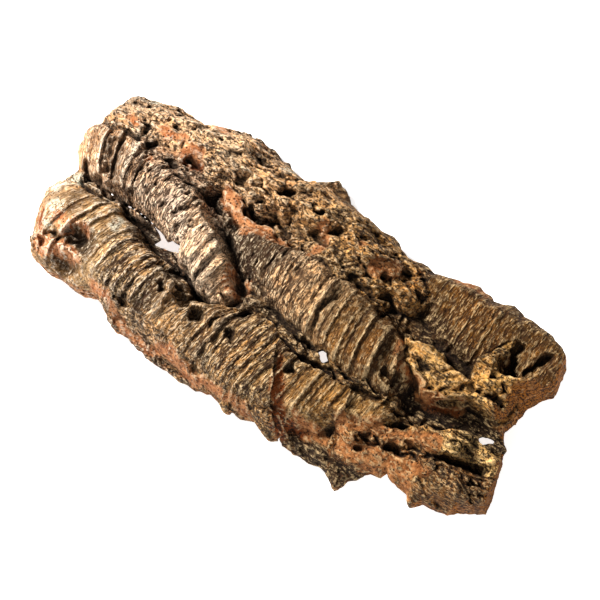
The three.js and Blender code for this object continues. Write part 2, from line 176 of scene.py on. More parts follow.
# Tints of the bark on each form, as x and display colour
TINTS = {
    "shell": [(-180, (112, 90, 68)), (170, (90, 68, 44))],
    "lower": [
        (-180, (174, 140, 106)), (-150, (174, 142, 102)), (-110, (186, 155, 117)), (-60, (176, 144, 108)),
        (0, (160, 129, 92)), (40, (140, 111, 74)), (90, (136, 107, 68)),
    ],
    "middle": [
        (-180, (190, 152, 120)), (-130, (190, 158, 132)), (-90, (248, 222, 206)), (-45, (250, 220, 198)),
    ],
    "right": [
        (-50, (104, 88, 74)), (-22, (120, 100, 82)), (-10, (186, 156, 132)), (20, (194, 164, 138)),
        (40, (116, 88, 55)), (80, (92, 65, 34)),
    ],
    "upper": [
        (-175, (186, 154, 124)), (-110, (240, 204, 168)), (-50, (218, 180, 140)), (20, (196, 158, 112)),
        (65, (166, 128, 82)),
    ],
    "saddle": [(-12, (140, 114, 84)), (86, (124, 98, 66))],
    "left_saddle": [(-180, (150, 126, 98)), (-120, (140, 112, 80))],
    "shoulder": [(-176, (186, 156, 132)), (-96, (172, 142, 120))],
    "brow": [(-34, (180, 146, 110)), (45, (176, 140, 96))],
    "shelf": [(-84, (170, 124, 88)), (-20, (164, 120, 82))],
    "wedge": [(120, (176, 142, 94)), (140, (176, 142, 94))],
    "crumbled": [
        (90, (150, 116, 76)), (130, (200, 160, 112)), (146, (254, 222, 172)), (160, (254, 222, 172)),
    ],
    "salmon": [(80, (142, 96, 56)), (130, (140, 98, 60))],
    "corner": [(110, (132, 97, 58)), (160, (122, 87, 50))],
    # The panel's dark tint is partly its own brown and partly painted shade
    "panel": [(66, (97, 70, 36)), (110, (105, 75, 38)), (150, (100, 71, 35))],
    "ledge": [(78, (224, 186, 136)), (110, (214, 176, 124)), (140, (216, 176, 120)), (165, (156, 116, 68))],
}

# Dark patches, along paths of x, y, half-width, strength: partly stained facets and partly painted
# shade in the recesses, cavities and furrows that they lie on
STAINS_AND_SHADE = [
    [(-161, -13, 5, 0.6), (-158, -26, 5, 0.6)],
    [(-150, -42, 6, 0.8), (-134, -42, 8, 0.8)],
    [(-152, -60, 5, 0.8), (-140, -58, 6, 0.8)],
    [(-160, 24, 7, 0.6), (-150, 6, 6, 0.6)],
    [(-116, -13, 6, 0.6), (-98, -16, 6, 0.6)],
    [(-84, -31, 4, 0.9), (-76, -26, 5, 0.9), (-68, -22, 4, 0.9)],
    [(-84, -46, 5, 0.35), (-76, -36, 6, 0.35), (-69, -30, 4, 0.35)],
    [(-76, -46, 3, 0.7), (-80, -58, 4, 0.7)],
    [(-50, 14, 8, 0.6), (-30, 6, 9, 0.6), (-16, 18, 6, 0.7)],
    [(84, 34, 9, 0.75), (104, 30, 8, 0.75), (122, 28, 6, 0.75)],
    [
        (96, -12, 6, 0.9), (112, -14, 7, 1), (128, -6, 9, 1), (142, -3, 8, 1), (160, -4, 8, 1),
        (172, -5, 6, 1),
    ],
    [(122, -2, 3, 0.9), (132, 2, 3, 0.9), (148, 2, 3, 0.9), (160, 1, 3, 0.8)],
    [(52, -72, 6, 0.6), (72, -72, 7, 0.7), (92, -74, 8, 0.8)],
]

# Pleats of each rib: lean of the pleats in plan as x, lean pairs, then crests as x, height pairs
PLEATS = {
    "lower": {
        "lean": [(-180, 0.34), (-60, 0.3), (0, 0.26), (80, 0.2)],
        "crests": [
            (-170, 1.5), (-161, 2), (-150, 4.2), (-140, 3), (-129, 1.8), (-122, 1.4), (-114, 3), (-108, 2),
            (-103, 1.4), (-96, 3.8), (-90, 1.8), (-83, 4), (-78, 1.5), (-67, 2.5), (-55, 2), (-49, 2),
            (-43, 2), (-34, 1.5), (-25, 4), (-18, 2.5), (-8, 2), (-1, 2.2), (5, 2.4), (10, 2.6), (16, 2.4),
            (24, 3.6), (36, 1), (47, 3), (52, 2.6), (58, 2.2), (65, 1.2), (73, 4), (86, 2.6),
        ],
    },
    "middle": {
        "lean": [(-185, -0.6), (-150, -0.55), (-125, -0.1), (-95, 0.08), (-60, 0.2), (-40, 0.3)],
        "crests": [
            (-173, 3), (-162, 3.6), (-151, 4), (-137, 3.2), (-127, 1.4), (-119, 1), (-112, 1.4), (-106, 0.8),
            (-100, 1.4), (-94, 1), (-88, 1.4), (-83, 1), (-77, 1.8), (-71, 1.2), (-64, 2.4), (-57, 4),
            (-49, 3.6), (-43, 2.4), (-37, 2),
        ],
    },
    "right": {
        "lean": [(-60, -0.02), (0, -0.1), (80, -0.12)],
        "crests": [
            (-49, 1), (-43, 1.6), (-39, 1.2), (-34, 1.4), (-30, 1.6), (-25, 1.6), (-21, 1.2), (-16, 2),
            (-6, 1.4), (1, 0.8), (7, 1.4), (13, 1.2), (19, 0.8), (25, 4.2), (34, 0.8), (40, 2.4), (50, 2.8),
            (54, 1.2), (61, 2.6), (73, 3.4), (86, 2.4),
        ],
    },
    "panel": {
        "lean": [(60, 0.08), (160, 0.08)],
        "crests": [
            (74, 1), (79, 0.8), (85, 2), (90, 0.9), (96, 1.3), (101, 0.8), (106, 2.2), (112, 1.3),
            (117, 0.9), (121, 1.7), (127, 0.9), (137, 1.3), (143, 0.8), (150, 1.5), (160, 1.2), (165, 1),
        ],
    },
}
PLEAT_CURVE = 1.5  # how hollow the facet between two crests is
PLEAT_SINK = 0.35  # share of a crest's height that the groove behind it goes down

# How rough the facets are along each rib, as x, amount pairs
MINOR = {
    "lower": [
        (-170, 0.1), (-126, 0.12), (-110, 1), (-85, 1), (-60, 0.6), (-20, 1), (25, 1), (40, 0.4), (90, 0.4),
    ],
    "middle": [(-180, 0.3), (-145, 0.4), (-135, 1.2), (-90, 1.2), (-75, 0.6), (-40, 0.6)],
    "right": [(-50, 1.1), (0, 1), (25, 0.6), (40, 0.35), (90, 0.35)],
    "panel": [(60, 0.6), (160, 0.6)],
}

# Furrows, clefts and slots cut along paths of x, y, half-width, depth
FURROWS = [
    [
        (-86, 30, 7, 15), (-70, 15, 6, 11), (-56, 10, 5, 10), (-45, 4, 5, 10), (-32, -1, 5, 9),
        (-20, -4, 4, 6), (-6, -9, 3.5, 5), (8, -14, 3, 3), (24, -20, 3, 4), (42, -20, 4, 6), (54, -23, 3, 4),
        (68, -25, 3.5, 6), (84, -24, 5, 6),
    ],
    [(-170, 0, 4, 10), (-148, -4, 4, 14), (-112, -5, 4, 8), (-92, -11, 5, 5), (-78, -15, 4, 6)],
    [(78, 32, 9, 11), (92, 27, 9, 11), (108, 24, 7, 12), (124, 22, 6, 11)],
    [(142, 51, 5, 14), (144, 42, 7, 20), (146, 36, 6, 18)],
    [(155, 40, 4, 10), (160, 54, 4, 12)],
    [
        (85, -9, 7, 8), (106, -14, 8, 9), (122, -10, 8, 15), (138, -7, 8, 19), (152, -7, 8, 19),
        (165, -8, 8, 16), (182, -8, 8, 12),
    ],
    [(84, -50, 3, 6), (91, -46, 4, 9), (97, -47, 2.5, 5)],
    [(106, -45, 3, 7), (116, -42, 4.5, 10), (126, -41, 3, 7)],
    [(138, -34, 4, 6), (150, -31, 5, 11), (158, -28, 5, 9), (167, -23, 4, 6)],
    [(-54, 46, 4, 7), (-40, 45, 4, 8), (-30, 44, 4, 7)],
    [(10, 69, 4, 4), (28, 67, 4, 5), (44, 62, 5, 5)],
    [(-157, 25, 8, 7), (-147, 7, 8, 9)],
    [(94, 9, 2, 2), (104, 6, 2.5, 4), (112, 9, 2, 4), (118, 15, 2, 3)],
    [(116, -2, 2, 3), (126, 6, 2.5, 4), (133, 13, 2, 3)],
    [(139, 11, 2, 4), (148, 15, 2.5, 5), (158, 12, 2, 4), (166, 14, 2, 4)],
    [(141, 23, 2, 3), (152, 22, 2.5, 5), (160, 25, 2, 4)],
    [(152, 5, 2, 3), (156, 14, 2, 4), (163, 27, 2, 4), (167, 36, 2, 3)],
    [(32, 21, 4, 3), (28, 6, 4.5, 6), (29, -10, 4.5, 6), (30, -18, 4, 4)],
]

# Raised veins along paths of x, y, half-width, height
VEINS = [
    [(-8, -8, 3, 2), (-20, -20, 3.5, 3.5), (-24, -33, 3.5, 4), (-28, -49, 3, 3), (-26, -60, 2, 1)],
    [(26, -25, 2.5, 2.5), (20, -42, 2.5, 2)],
    [(62, -44, 2.5, 3), (70, -41, 3, 4), (82, -38, 2.5, 3)],
    [(84, 15, 3, 2), (98, 15, 3, 3.5), (112, 14, 3, 3.5), (126, 13, 3, 3)],
    [(96, 1, 3, 1.5), (108, -3, 3, 2.5), (120, 0, 3, 2), (138, 6, 4, 3), (150, 7, 4, 3.5), (162, 6, 3, 2.5)],
    [(140, 20, 4, 3), (147, 26, 4, 4), (156, 31, 3, 3), (166, 40, 3, 2)],
    [(-80, -31, 3, 3), (-69, -36, 3, 4), (-69, -44, 3, 3.5), (-71, -57, 2.5, 2)],
]

# Eroded hollows: x, y, half-length along x, half-width along y, depth
HOLLOWS = [
    (-140, -42, 15, 10, 15), (-158, -49, 10, 3.5, 8), (-142, -60, 14, 7, 15), (-165, -56, 5, 4, 7),
    (-92, -59, 8, 4, 10), (-76, -27, 10, 5, 13), (-71, -41, 4, 3, 9), (-64, -33, 4, 3, 9),
    (-58, -37, 9, 7, 15), (-43, -42, 8, 7, 14),
    (-34, -22, 7, 3.5, 10), (-14, -42, 6, 5, 8), (-16, -25, 5, 5, 6), (-30, -68, 7, 5, 8),
    (31, -40, 5, 4, 8), (-108, 42, 6, 5, 10), (-149, 45, 5, 5, 8), (-139, 38, 5, 5, 7),
    (-118, 68, 8, 5, 6), (-73, 51, 6, 5, 8), (-58, 36, 5, 5, 11), (-41, 61, 5, 4, 9),
    (-44, 57, 4, 3, 7), (-29, 37, 6, 5, 8), (0, 54, 7, 7, 13), (-6, 45, 8, 5, 12), (-10, 35, 4, 4, 6),
    (90, -54, 3, 3, 7), (108, -42, 5, 3, 8), (119, -36, 7, 3, 7), (162, -38, 3, 4, 8), (168, -47, 3, 2, 6),
    (48, 44, 6, 5, 9), (54, 34, 8, 5, 10), (59, 23, 6, 6, 9), (76, 44, 5, 5, 7), (-125, -2, 5, 4, 8),
]

# Caves under an edge: ends of the middle line as x, y, z, then radius
CAVES = [
    ((122, -2, 44), (160, 0, 43), 7),
    ((143, 47, 47), (146, 37, 45), 6),
    ((157, 6, 40), (160, 20, 40), 3.5),
    ((-84, 31, 42), (-74, 20, 42), 6),
    ((-84, -27, 47), (-68, -24, 47), 6),
    ((88, 30, 44), (106, 26, 44), 6),
]

# Lips where one pleat stands over the next: path, step up (or down) on its left side, fade
LIPS = [
    ([(-60, -32), (-69, -36), (-69, -44), (-72, -58)], 5, 14),
    ([(72, 6), (72, -40)], -3, 9),
    ([(80, 14), (87, -6), (89, -22)], -7, 10),
    ([(-58, 6), (-60, -26)], -3, 8),
    ([(-22, -20), (-30, -44)], -5, 8),
    ([(37, -75), (28, -57), (18, -38)], 6, 12),
    ([(98, 10), (108, 8), (120, 13)], 3, 7),
]
LIP_END = 5  # how far past the ends of its path a lip dies away

# Splits right through the shell, in plan at the height of the ribs
SPLITS = [
    [
        (-149, -2.8), (-137, -4.4), (-123, -3.5), (-112, -4.7), (-100, -8.2), (-93, -11), (-91, -8.5),
        (-83, -8), (-80, -13), (-90, -16), (-101, -18), (-97, -12.3), (-104, -8.6), (-112, -6),
        (-123, -4.7), (-137, -5.8), (-149, -4),
    ],
    [(35, -19), (38, -16.5), (42, -16), (46, -21), (43, -24)],
    [(149, -12), (154, -9.5), (162, -7.5), (164, -9), (157, -13)],
]
SPLIT_HEIGHT = 45
SPLIT_LEAN = (0.32, -0.21)
SPLIT_REACH = 4  # how far round its outline a split's ragged sides are worked out

# Lean of the fine relief: crests overhang the facet after them by this much for each millimetre of height
RELIEF_LEAN = (0.35, -0.05)
LEAN_REACH = 9

# The solid field: limits in millimetres, and radii of the edges between its faces
STEEPEST_SQUARED = 30  # slope, squared, beyond which distances aren't scaled any more
LEAST_BARK = 5  # what furrows and caves leave over the inner face
CRUMBS_DOWN = 12  # how far from the outer face and from the rim the crumbling is worked out
CRUMBS_IN = 6
RIM_ROUND = 1.7
SAWN_ROUND = 2
INNER_ROUND = 1.5
OFF_FLOOR = 0.01  # keeps the grid's levels off the floor's plane

# Boxes of grid points, to each side, over which the bark close round a place is measured
CLOSE_REACH = 2
BROAD_REACH = 9

# Weathered, crumbling band along the far edge: where it begins and is full along y, and its end along x
BAND_FROM = 36
BAND_FULL = 48
BAND_END = 68

# Broken cork that shows tan, along paths of x, y, half-width
TAN_PATHS = [
    [(-80, 38, 5), (-72, 34, 7), (-62, 30, 7), (-52, 26, 7), (-40, 29, 4), (-28, 29, 5), (-22, 28, 3)],
    [(-44, -2, 3), (-40, -14, 4), (-30, -18, 3)],
    [(-28, -6, 3), (-24, -14, 2)],
    [
        (-120, -61, 3), (-106, -63, 3), (-98, -70, 4), (-85, -73, 3), (-70, -74, 3), (-50, -70, 4),
        (-30, -74, 4), (-10, -72, 3), (10, -73, 4), (16, -75, 3),
    ],
    [(-163, -37, 5), (-156, -40, 6), (-150, -35, 3), (-141, -33, 2), (-136, -37, 2)],
    [(-178, -37, 3), (-172, -48, 4), (-168, -56, 6), (-160, -58, 5), (-150, -53, 4), (-137, -53, 4)],
    [(45, -60, 3), (55, -62, 5), (65, -60, 4)],
    [(74, -49, 5), (88, -41, 6), (103, -38, 5), (118, -31, 5), (131, -28, 5)],
    [(80, -59, 5), (92, -57, 8), (104, -55, 9), (112, -55, 7)],
    [(112, -48, 3), (124, -46, 4), (136, -44, 3)],
    [(122, -53, 3), (132, -47, 3), (138, -44, 2)],
    [(125, -57, 3), (132, -62, 3)],
    [(78, 14, 2), (85, 3, 3.5), (92, -1, 3.5), (100, -4, 4), (111, -8, 4), (120, -5, 4), (130, 0, 3.5)],
    [(84, 71, 4), (97, 73, 4), (104, 72, 3)],
    [(-8, 52, 4), (-3, 47, 4), (-2, 29, 3)],
    [(18, 54, 3), (22, 53, 3)],
    [(38, 46, 6), (48, 54, 6)],
    [(-140, 51, 4), (-133, 49, 4), (-122, 53, 4)],
    [(-113, 45, 7), (-110, 47, 7)],
    [(-121, 80, 4), (-113, 78, 4), (-106, 75, 3)],
    [(-165, 47, 4), (-158, 44, 4)],
    [(-133, 27, 2.5), (-130, 25, 2.5)],
]

# Rusty broken faces, along paths of x, y, half-width
RUST_PATHS = [
    [(22, -39, 3), (31, -57, 5.5), (39, -71, 5)],
    [(-114, 40, 3), (-102, 42, 3)],
    [(-178, -40, 2), (-172, -48, 3)],
    [(112, -8, 1.5), (120, -7, 2.5), (130, -2, 2)],
    [(42, -66, 3), (52, -66, 3)],
]

# Pale lichen crusts: x, y, radius
LICHEN = [
    (-170, -37, 6), (-169, -43, 4), (-166, -31, 4), (-179, -21, 5), (-177, -14, 6), (-174, -9, 5),
    (-124, -18, 3), (-123, -24, 3), (-57, 78, 4), (-162, 69, 4),
]


def smoothstep(value, low, high):
    """0 below low, 1 above high, with a smooth cubic rise between them."""
    t = np.clip((value - low) / (high - low), 0, 1)
    return t * t * (3 - 2 * t)


def colour(red, green, blue):
    """A colour given in display values from 0 to 255, as the linear values that shaders take."""
    shown = np.array([red, green, blue]) / 255
    linear = np.where(shown <= 0.04045, shown / 12.92, ((shown + 0.055) / 1.055) ** 2.4)
    return (*linear, 1.0)


def follow(x, y, path):
    """For arrays of points, the nearest point of a path.

    Gives the distance to it, the side (1 on the left, else -1), how far the point lies past the path's
    ends, and the values that the path carries there, blended along the segment."""
    path = np.asarray(path, float)
    best = np.full(np.shape(x), np.inf)
    side, past = np.ones_like(best), np.zeros_like(best)
    values = np.zeros((path.shape[1] - 2,) + best.shape)
    last = len(path) - 2
    for i, (a, b) in enumerate(zip(path[:-1], path[1:])):
        along = b[:2] - a[:2]
        reach = np.hypot(*along)
        free = ((x - a[0]) * along[0] + (y - a[1]) * along[1]) / reach**2
        t = np.clip(free, 0, 1)
        off_x, off_y = x - a[0] - t * along[0], y - a[1] - t * along[1]
        distance = np.hypot(off_x, off_y)
        near = distance < best
        best = np.where(near, distance, best)
        side = np.where(near, np.where(along[0] * off_y - along[1] * off_x > 0, 1, -1), side)
        beyond = np.abs(free - t) * reach * (((i == 0) & (free < 0)) | ((i == last) & (free > 1)))
        past = np.where(near, beyond, past)
        for k in range(values.shape[0]):
            values[k] = np.where(near, a[k + 2] + t * (b[k + 2] - a[k + 2]), values[k])
    return best, side, past, values


def inside_depth(x, y, outline):
    """Signed distance to a closed outline, positive inside it, by counting crossings of its edges."""
    outline = np.asarray(outline, float)
    distance = follow(x, y, np.vstack([outline, outline[:1]]))[0]
    odd = np.zeros(np.shape(x), bool)
    for a, b in zip(outline, np.roll(outline, -1, axis=0)):
        if a[1] != b[1]:
            crosses = (a[1] > y) != (b[1] > y)
            odd ^= crosses & (x < a[0] + (y - a[1]) * (b[0] - a[0]) / (b[1] - a[1]))
    return np.where(odd, distance, -distance)


# Random values from 0 to 1 on a lattice that repeats, read by every noise and every flake
LATTICE_SIZE = 64
LATTICE = np.random.default_rng(SEED).random((LATTICE_SIZE,) * 3).astype(np.float32)
NOISE_SHIFT = (7.3, 3.1, 11.7)  # how far each next seed moves a noise along the lattice
CELL_SHIFT = (5.7, 2.3)
FAR_AWAY = 9.0  # more than the distance to the nearest scattered point ever is


def noise(x, y, z=0.0, seed=0):
    """Smooth noise from -1 to 1: random values on a repeating lattice, blended between its points."""
    x, y, z = (np.float32(place) + shift * seed for place, shift in zip((x, y, z), NOISE_SHIFT))
    x, y, z = np.broadcast_arrays(x, y, z)
    i, j, k = (np.floor(place).astype(int) for place in (x, y, z))
    u, v, w = (smoothstep(share, 0, 1) for share in (x - i, y - j, z - k))
    i, j, k = (corner % LATTICE_SIZE for corner in (i, j, k))
    i1, j1, k1 = ((corner + 1) % LATTICE_SIZE for corner in (i, j, k))
    low = (LATTICE[i, j, k] * (1 - u) + LATTICE[i1, j, k] * u) * (1 - v)
    low += (LATTICE[i, j1, k] * (1 - u) + LATTICE[i1, j1, k] * u) * v
    high = (LATTICE[i, j, k1] * (1 - u) + LATTICE[i1, j, k1] * u) * (1 - v)
    high += (LATTICE[i, j1, k1] * (1 - u) + LATTICE[i1, j1, k1] * u) * v
    return 2 * (low * (1 - w) + high * w) - 1


def turbulence(x, y, z=0.0, seed=0, octaves=3):
    """Noise summed over octaves, each twice as fine and half as strong."""
    total = 0.0
    for n in range(octaves):
        total = total + noise(x * 2**n, y * 2**n, z * 2**n, seed + n) / 2**n
    return total


def moved(x, y, amount, size, seed):
    """Places pushed about by turbulence of a size, so that what is drawn over them gets a wandering edge."""
    return (
        x + amount * turbulence(x / size, y / size, seed=seed),
        y + amount * turbulence(x / size, y / size, seed=seed + 1),
    )


def unit_squares(x, y, seed):
    """The nine unit squares round each place: their lattice numbers, and the place from their corners."""
    x, y = x + CELL_SHIFT[0] * seed, y + CELL_SHIFT[1] * seed
    i, j = np.floor(x).astype(int), np.floor(y).astype(int)
    for di in (-1, 0, 1):
        for dj in (-1, 0, 1):
            yield (i + di) % LATTICE_SIZE, (j + dj) % LATTICE_SIZE, x - i - di, y - j - dj


def cells(x, y, seed=0):
    """Distance to the nearest of scattered points, one in each unit square, and its own random value."""
    best, value = np.full(x.shape, FAR_AWAY), np.zeros(x.shape)
    for a, b, in_x, in_y in unit_squares(x, y, seed):
        distance = np.hypot(in_x - LATTICE[a, b, 0], in_y - LATTICE[a, b, 1])
        value = np.where(distance < best, LATTICE[a, b, 2], value)
        best = np.minimum(best, distance)
    return best, value


def tilted_flakes(x, y, seed=0):
    """Angular flakes: each cell of scattered points is a plane with its own random level and slopes.

    Gives the height and the gap, which is 0 on the seam between two flakes."""
    best, second, height = np.full(x.shape, FAR_AWAY), np.full(x.shape, FAR_AWAY), np.zeros(x.shape)
    for a, b, in_x, in_y in unit_squares(x, y, seed):
        off_x, off_y = in_x - LATTICE[a, b, 10], in_y - LATTICE[a, b, 11]
        level, slope_x, slope_y = (2 * LATTICE[a, b, k] - 1 for k in (12, 13, 14))
        distance = np.hypot(off_x, off_y)
        height = np.where(distance < best, 0.6 * level + slope_x * off_x + slope_y * off_y, height)
        second = np.minimum(second, np.maximum(best, distance))
        best = np.minimum(best, distance)
    return height, second - best


def terraces(height, step):
    """A height broken into flakes: flat for about half a step, then a steep rise to the next."""
    level = np.floor(height / step)
    return step * (level + smoothstep(height / step - level, 0.55, 1))


def bowl(share):
    """Cross section of a groove, vein or hollow: one less the square of the share, all squared."""
    return (1 - np.clip(share, 0, 1) ** 2) ** 2


def pleat_facets(q, y, crests, seed):
    """Facets that rise to a crest and drop behind it: a power of the way across, times the crest's height.

    Gives the height, the edge (1 on a bold crest, -1 in the groove behind it) and the facet's number."""
    places, heights = np.transpose(crests)
    n = np.clip(np.searchsorted(places, q), 1, len(places) - 1)
    t = np.clip((q - places[n - 1]) / (places[n] - places[n - 1]), 0, 1)
    swell = np.clip(0.95 + 0.85 * noise(n * 3.7, y / 19, seed=seed), 0.25, 1.6)
    bold = 0.5 * heights[n] + 0.17 * heights[n] ** 2
    edge = (smoothstep(t, 0.7, 0.95) - smoothstep(0.3 - t, 0, 0.25)) * np.clip(bold * swell / 3, 0, 1)
    edge *= (q > places[0]) & (q < places[-1])
    return bold * swell * (t**PLEAT_CURVE - PLEAT_SINK), edge, n + 50 * seed


def pleats_of(name, x, y, seed):
    """A rib's pleats, measured along x at the rib's middle line and leaning to both sides of it."""
    wander = 2.4 * noise(x / 40, y / 26, seed=5) + 0.5 * noise(x / 9, y / 7, seed=6)
    wander = (1 - 0.6 * smoothstep(x, 10, 60)) * wander + 0.3 * noise(x / 2.5, y / 2.2, seed=7)
    lean = np.interp(x, *np.transpose(PLEATS[name]["lean"]))
    middle = np.interp(x, *np.transpose(RIBS[name])[:2])
    q = x - lean * (y - middle) + wander
    pleat, edge, facet = pleat_facets(q, y, PLEATS[name]["crests"], seed)
    minor = np.interp(x, *np.transpose(MINOR[name]))
    return {"q": q, "pleat": pleat, "edge": edge, "facet": facet, "minor": minor}


def highest_forms(x, y, warp_x, warp_y):
    """The highest rib or plate at each place, with its number in FORMS and its own pleats.

    A rib's height falls from its path as one less a power of the distance in half-widths, and a plate is
    a tilted plane that drops at its outline. The near flank of a broader rib is marked as well."""
    form = {key: np.zeros_like(x) for key in ("rib", "pleat", "edge", "flank")}
    form.update(top=np.zeros(x.shape, int), facet=np.zeros(x.shape, int), q=x.copy(), minor=np.ones_like(x))

    def lay(code, height, own):
        wins = height > form["rib"]
        for key, value in {"rib": height, "top": code, "pleat": 0, "edge": 0, "facet": code, **own}.items():
            form[key] = np.where(wins, value, form[key])
        return wins

    for code, (name, path) in enumerate(RIBS.items(), 1):
        distance, side, _, (half_width, height) = follow(warp_x, warp_y, path)
        share = distance / (half_width * np.where(side < 0, BROADER.get(name, 1), 1))
        fullness, steepness = SLOPED_FLANK if name in SLOPED else ROUND_FLANK
        swelling = height * (1 - np.minimum(1, share) ** fullness) ** steepness
        wins = lay(code, swelling, pleats_of(name, x, y, code) if name in PLEATS else {})
        if name in BROADER:
            form["flank"] = wins * (side < 0) * smoothstep(share, 0.45, 0.8)
    for code, (outline, height, rise_x, rise_y, broken) in enumerate(PLATES.values(), len(RIBS) + 1):
        centre = np.mean(outline, axis=0)
        tilted = height + rise_x * (x - centre[0]) + rise_y * (y - centre[1])
        lay(code, tilted * smoothstep(inside_depth(warp_x, warp_y, outline), -1, broken) ** 0.5, {})
    return form


def painted(x, y, paths, low, high):
    """How far places lie within broad paths: a soft step at the half-width, times the path's strength."""
    most = np.zeros_like(x)
    for path in paths:
        distance, _, _, (half_width, *strength) = follow(x, y, path)
        inside = smoothstep(half_width - distance, low, high)
        most = np.maximum(most, strength[0] * inside if strength else inside)
    return most


def tints(x, top):
    """Red, green and blue of the bark on each form, blended along x."""
    channels = dict.fromkeys(("tint_r", "tint_g", "tint_b"), 0)
    for code, name in enumerate(FORMS):
        places, shades = zip(*TINTS[name])
        for key, values in zip(channels, np.transpose([colour(*shade) for shade in shades])):
            channels[key] = np.where(top == code, np.interp(x, places, values), channels[key])
    return channels


def inner_height(x, y, arch):
    """Height of the inner face: the arch with a ripple of two sine waves, sunk at each foot."""
    ripple = 1.2 * np.sin(x / 23 + y / 31) + 0.8 * np.sin(x / 11 - y / 17)
    inner = np.maximum(EDGE_LIFT, arch + ripple)
    for foot_x, foot_y in FEET:
        near = np.exp(-((np.hypot(x - foot_x, y - foot_y) / FOOT_RADIUS) ** 4))
        inner += near * (FOOT_SINK - inner)
    return inner + 0.35 * turbulence(x / 9, y / 4, seed=28)


def pleat_relief(y, form, pleated, on_middle):
    """Relief of the pleated ribs: the facets, less grooves and cracks that run with the pleats."""
    q, minor = form["q"], form["minor"]
    fine = form["pleat"] * pleated
    grooves = 1 - smoothstep(np.abs(noise(q / 3.2, y / 34, seed=9)), 0.0, 0.3)
    fine -= pleated * (0.15 + 1.05 * minor) * grooves * smoothstep(noise(q / 9, y / 14, seed=10), -0.5, 0.3)
    cracks = smoothstep(turbulence(q / 2.6, y / 8, seed=14, octaves=2), 0.38, 0.6)
    fine -= pleated * minor * (1.4 + 1.4 * on_middle) * cracks
    return fine


def flake_relief(x, y, warp_x, warp_y):
    """Relief of rough bark: terraced noise, creases and two sizes of tilted flakes, and its open seams."""
    flakes = terraces(9 * turbulence(warp_x / 26, warp_y / 13, seed=16), 3)
    crease = 1 - smoothstep(np.abs(noise(warp_x / 16, warp_y / 5, seed=17)), 0.02, 0.1)
    shards, shard_gap = tilted_flakes(warp_x / 15, warp_y / 7, seed=20)
    chips, chip_gap = tilted_flakes(warp_x / 6, warp_y / 3.2, seed=24)
    is_open = smoothstep(noise(x / 11, y / 9, seed=33), -0.2, 0.2)
    seams = (1 - smoothstep(shard_gap, 0.03, 0.14)) * is_open
    chip_seams = 0.7 * (1 - smoothstep(chip_gap, 0.02, 0.12)) * is_open
    height = 1.3 * flakes - 2.6 * crease + 4.2 * shards + 0.6 * chips - 3.8 * seams
    return height, np.maximum(seams, chip_seams)


def carve(fine, x, y, warp_x, warp_y, band):
    """Raises lips and veins on the fine relief, in place, and cuts furrows, hollows and the band's pits.

    A lip stands on one side of its path and dies away as an exponential. Veins, furrows and hollows are
    bowls across their width. Gives how far down a furrow or hollow each place lies, from 0 to 1."""
    for path, step, fade in LIPS:
        distance, side, past, _ = follow(warp_x, warp_y, path)
        fine += (side > 0) * step * np.exp(-distance / fade - (past / LIP_END) ** 2)
    for path in VEINS:
        distance, _, _, (half_width, height) = follow(warp_x, warp_y, path)
        fine += height * bowl(distance / half_width)
    ragged_x, ragged_y = moved(x, y, 2.6, 6, 21)
    ragged_x = ragged_x + 0.8 * noise(x / 2.2, y / 2.2, seed=34)
    ragged_y = ragged_y + 0.8 * noise(x / 2.2, y / 2.2, seed=35)
    sunk = np.zeros_like(x)
    for path in FURROWS:
        distance, _, _, (half_width, depth) = follow(ragged_x, ragged_y, path)
        fine -= depth * bowl(distance / half_width)
        sunk = np.maximum(sunk, bowl(distance / half_width))
    for middle_x, middle_y, length, width, depth in HOLLOWS:
        share = np.hypot((ragged_x - middle_x) / length, (ragged_y - middle_y) / width)
        fine -= depth * bowl(share) ** 0.6
        sunk = np.maximum(sunk, bowl(share))
    distance, size = cells(ragged_x / 9, ragged_y / 6, seed=2)
    radius = 0.36 * size**2 - 0.06 + 0.16 * turbulence(x / 3, y / 3, seed=23)
    fine -= 10 * np.maximum(radius, 0) * smoothstep(radius - distance, -0.02, 0.12) * band
    return sunk


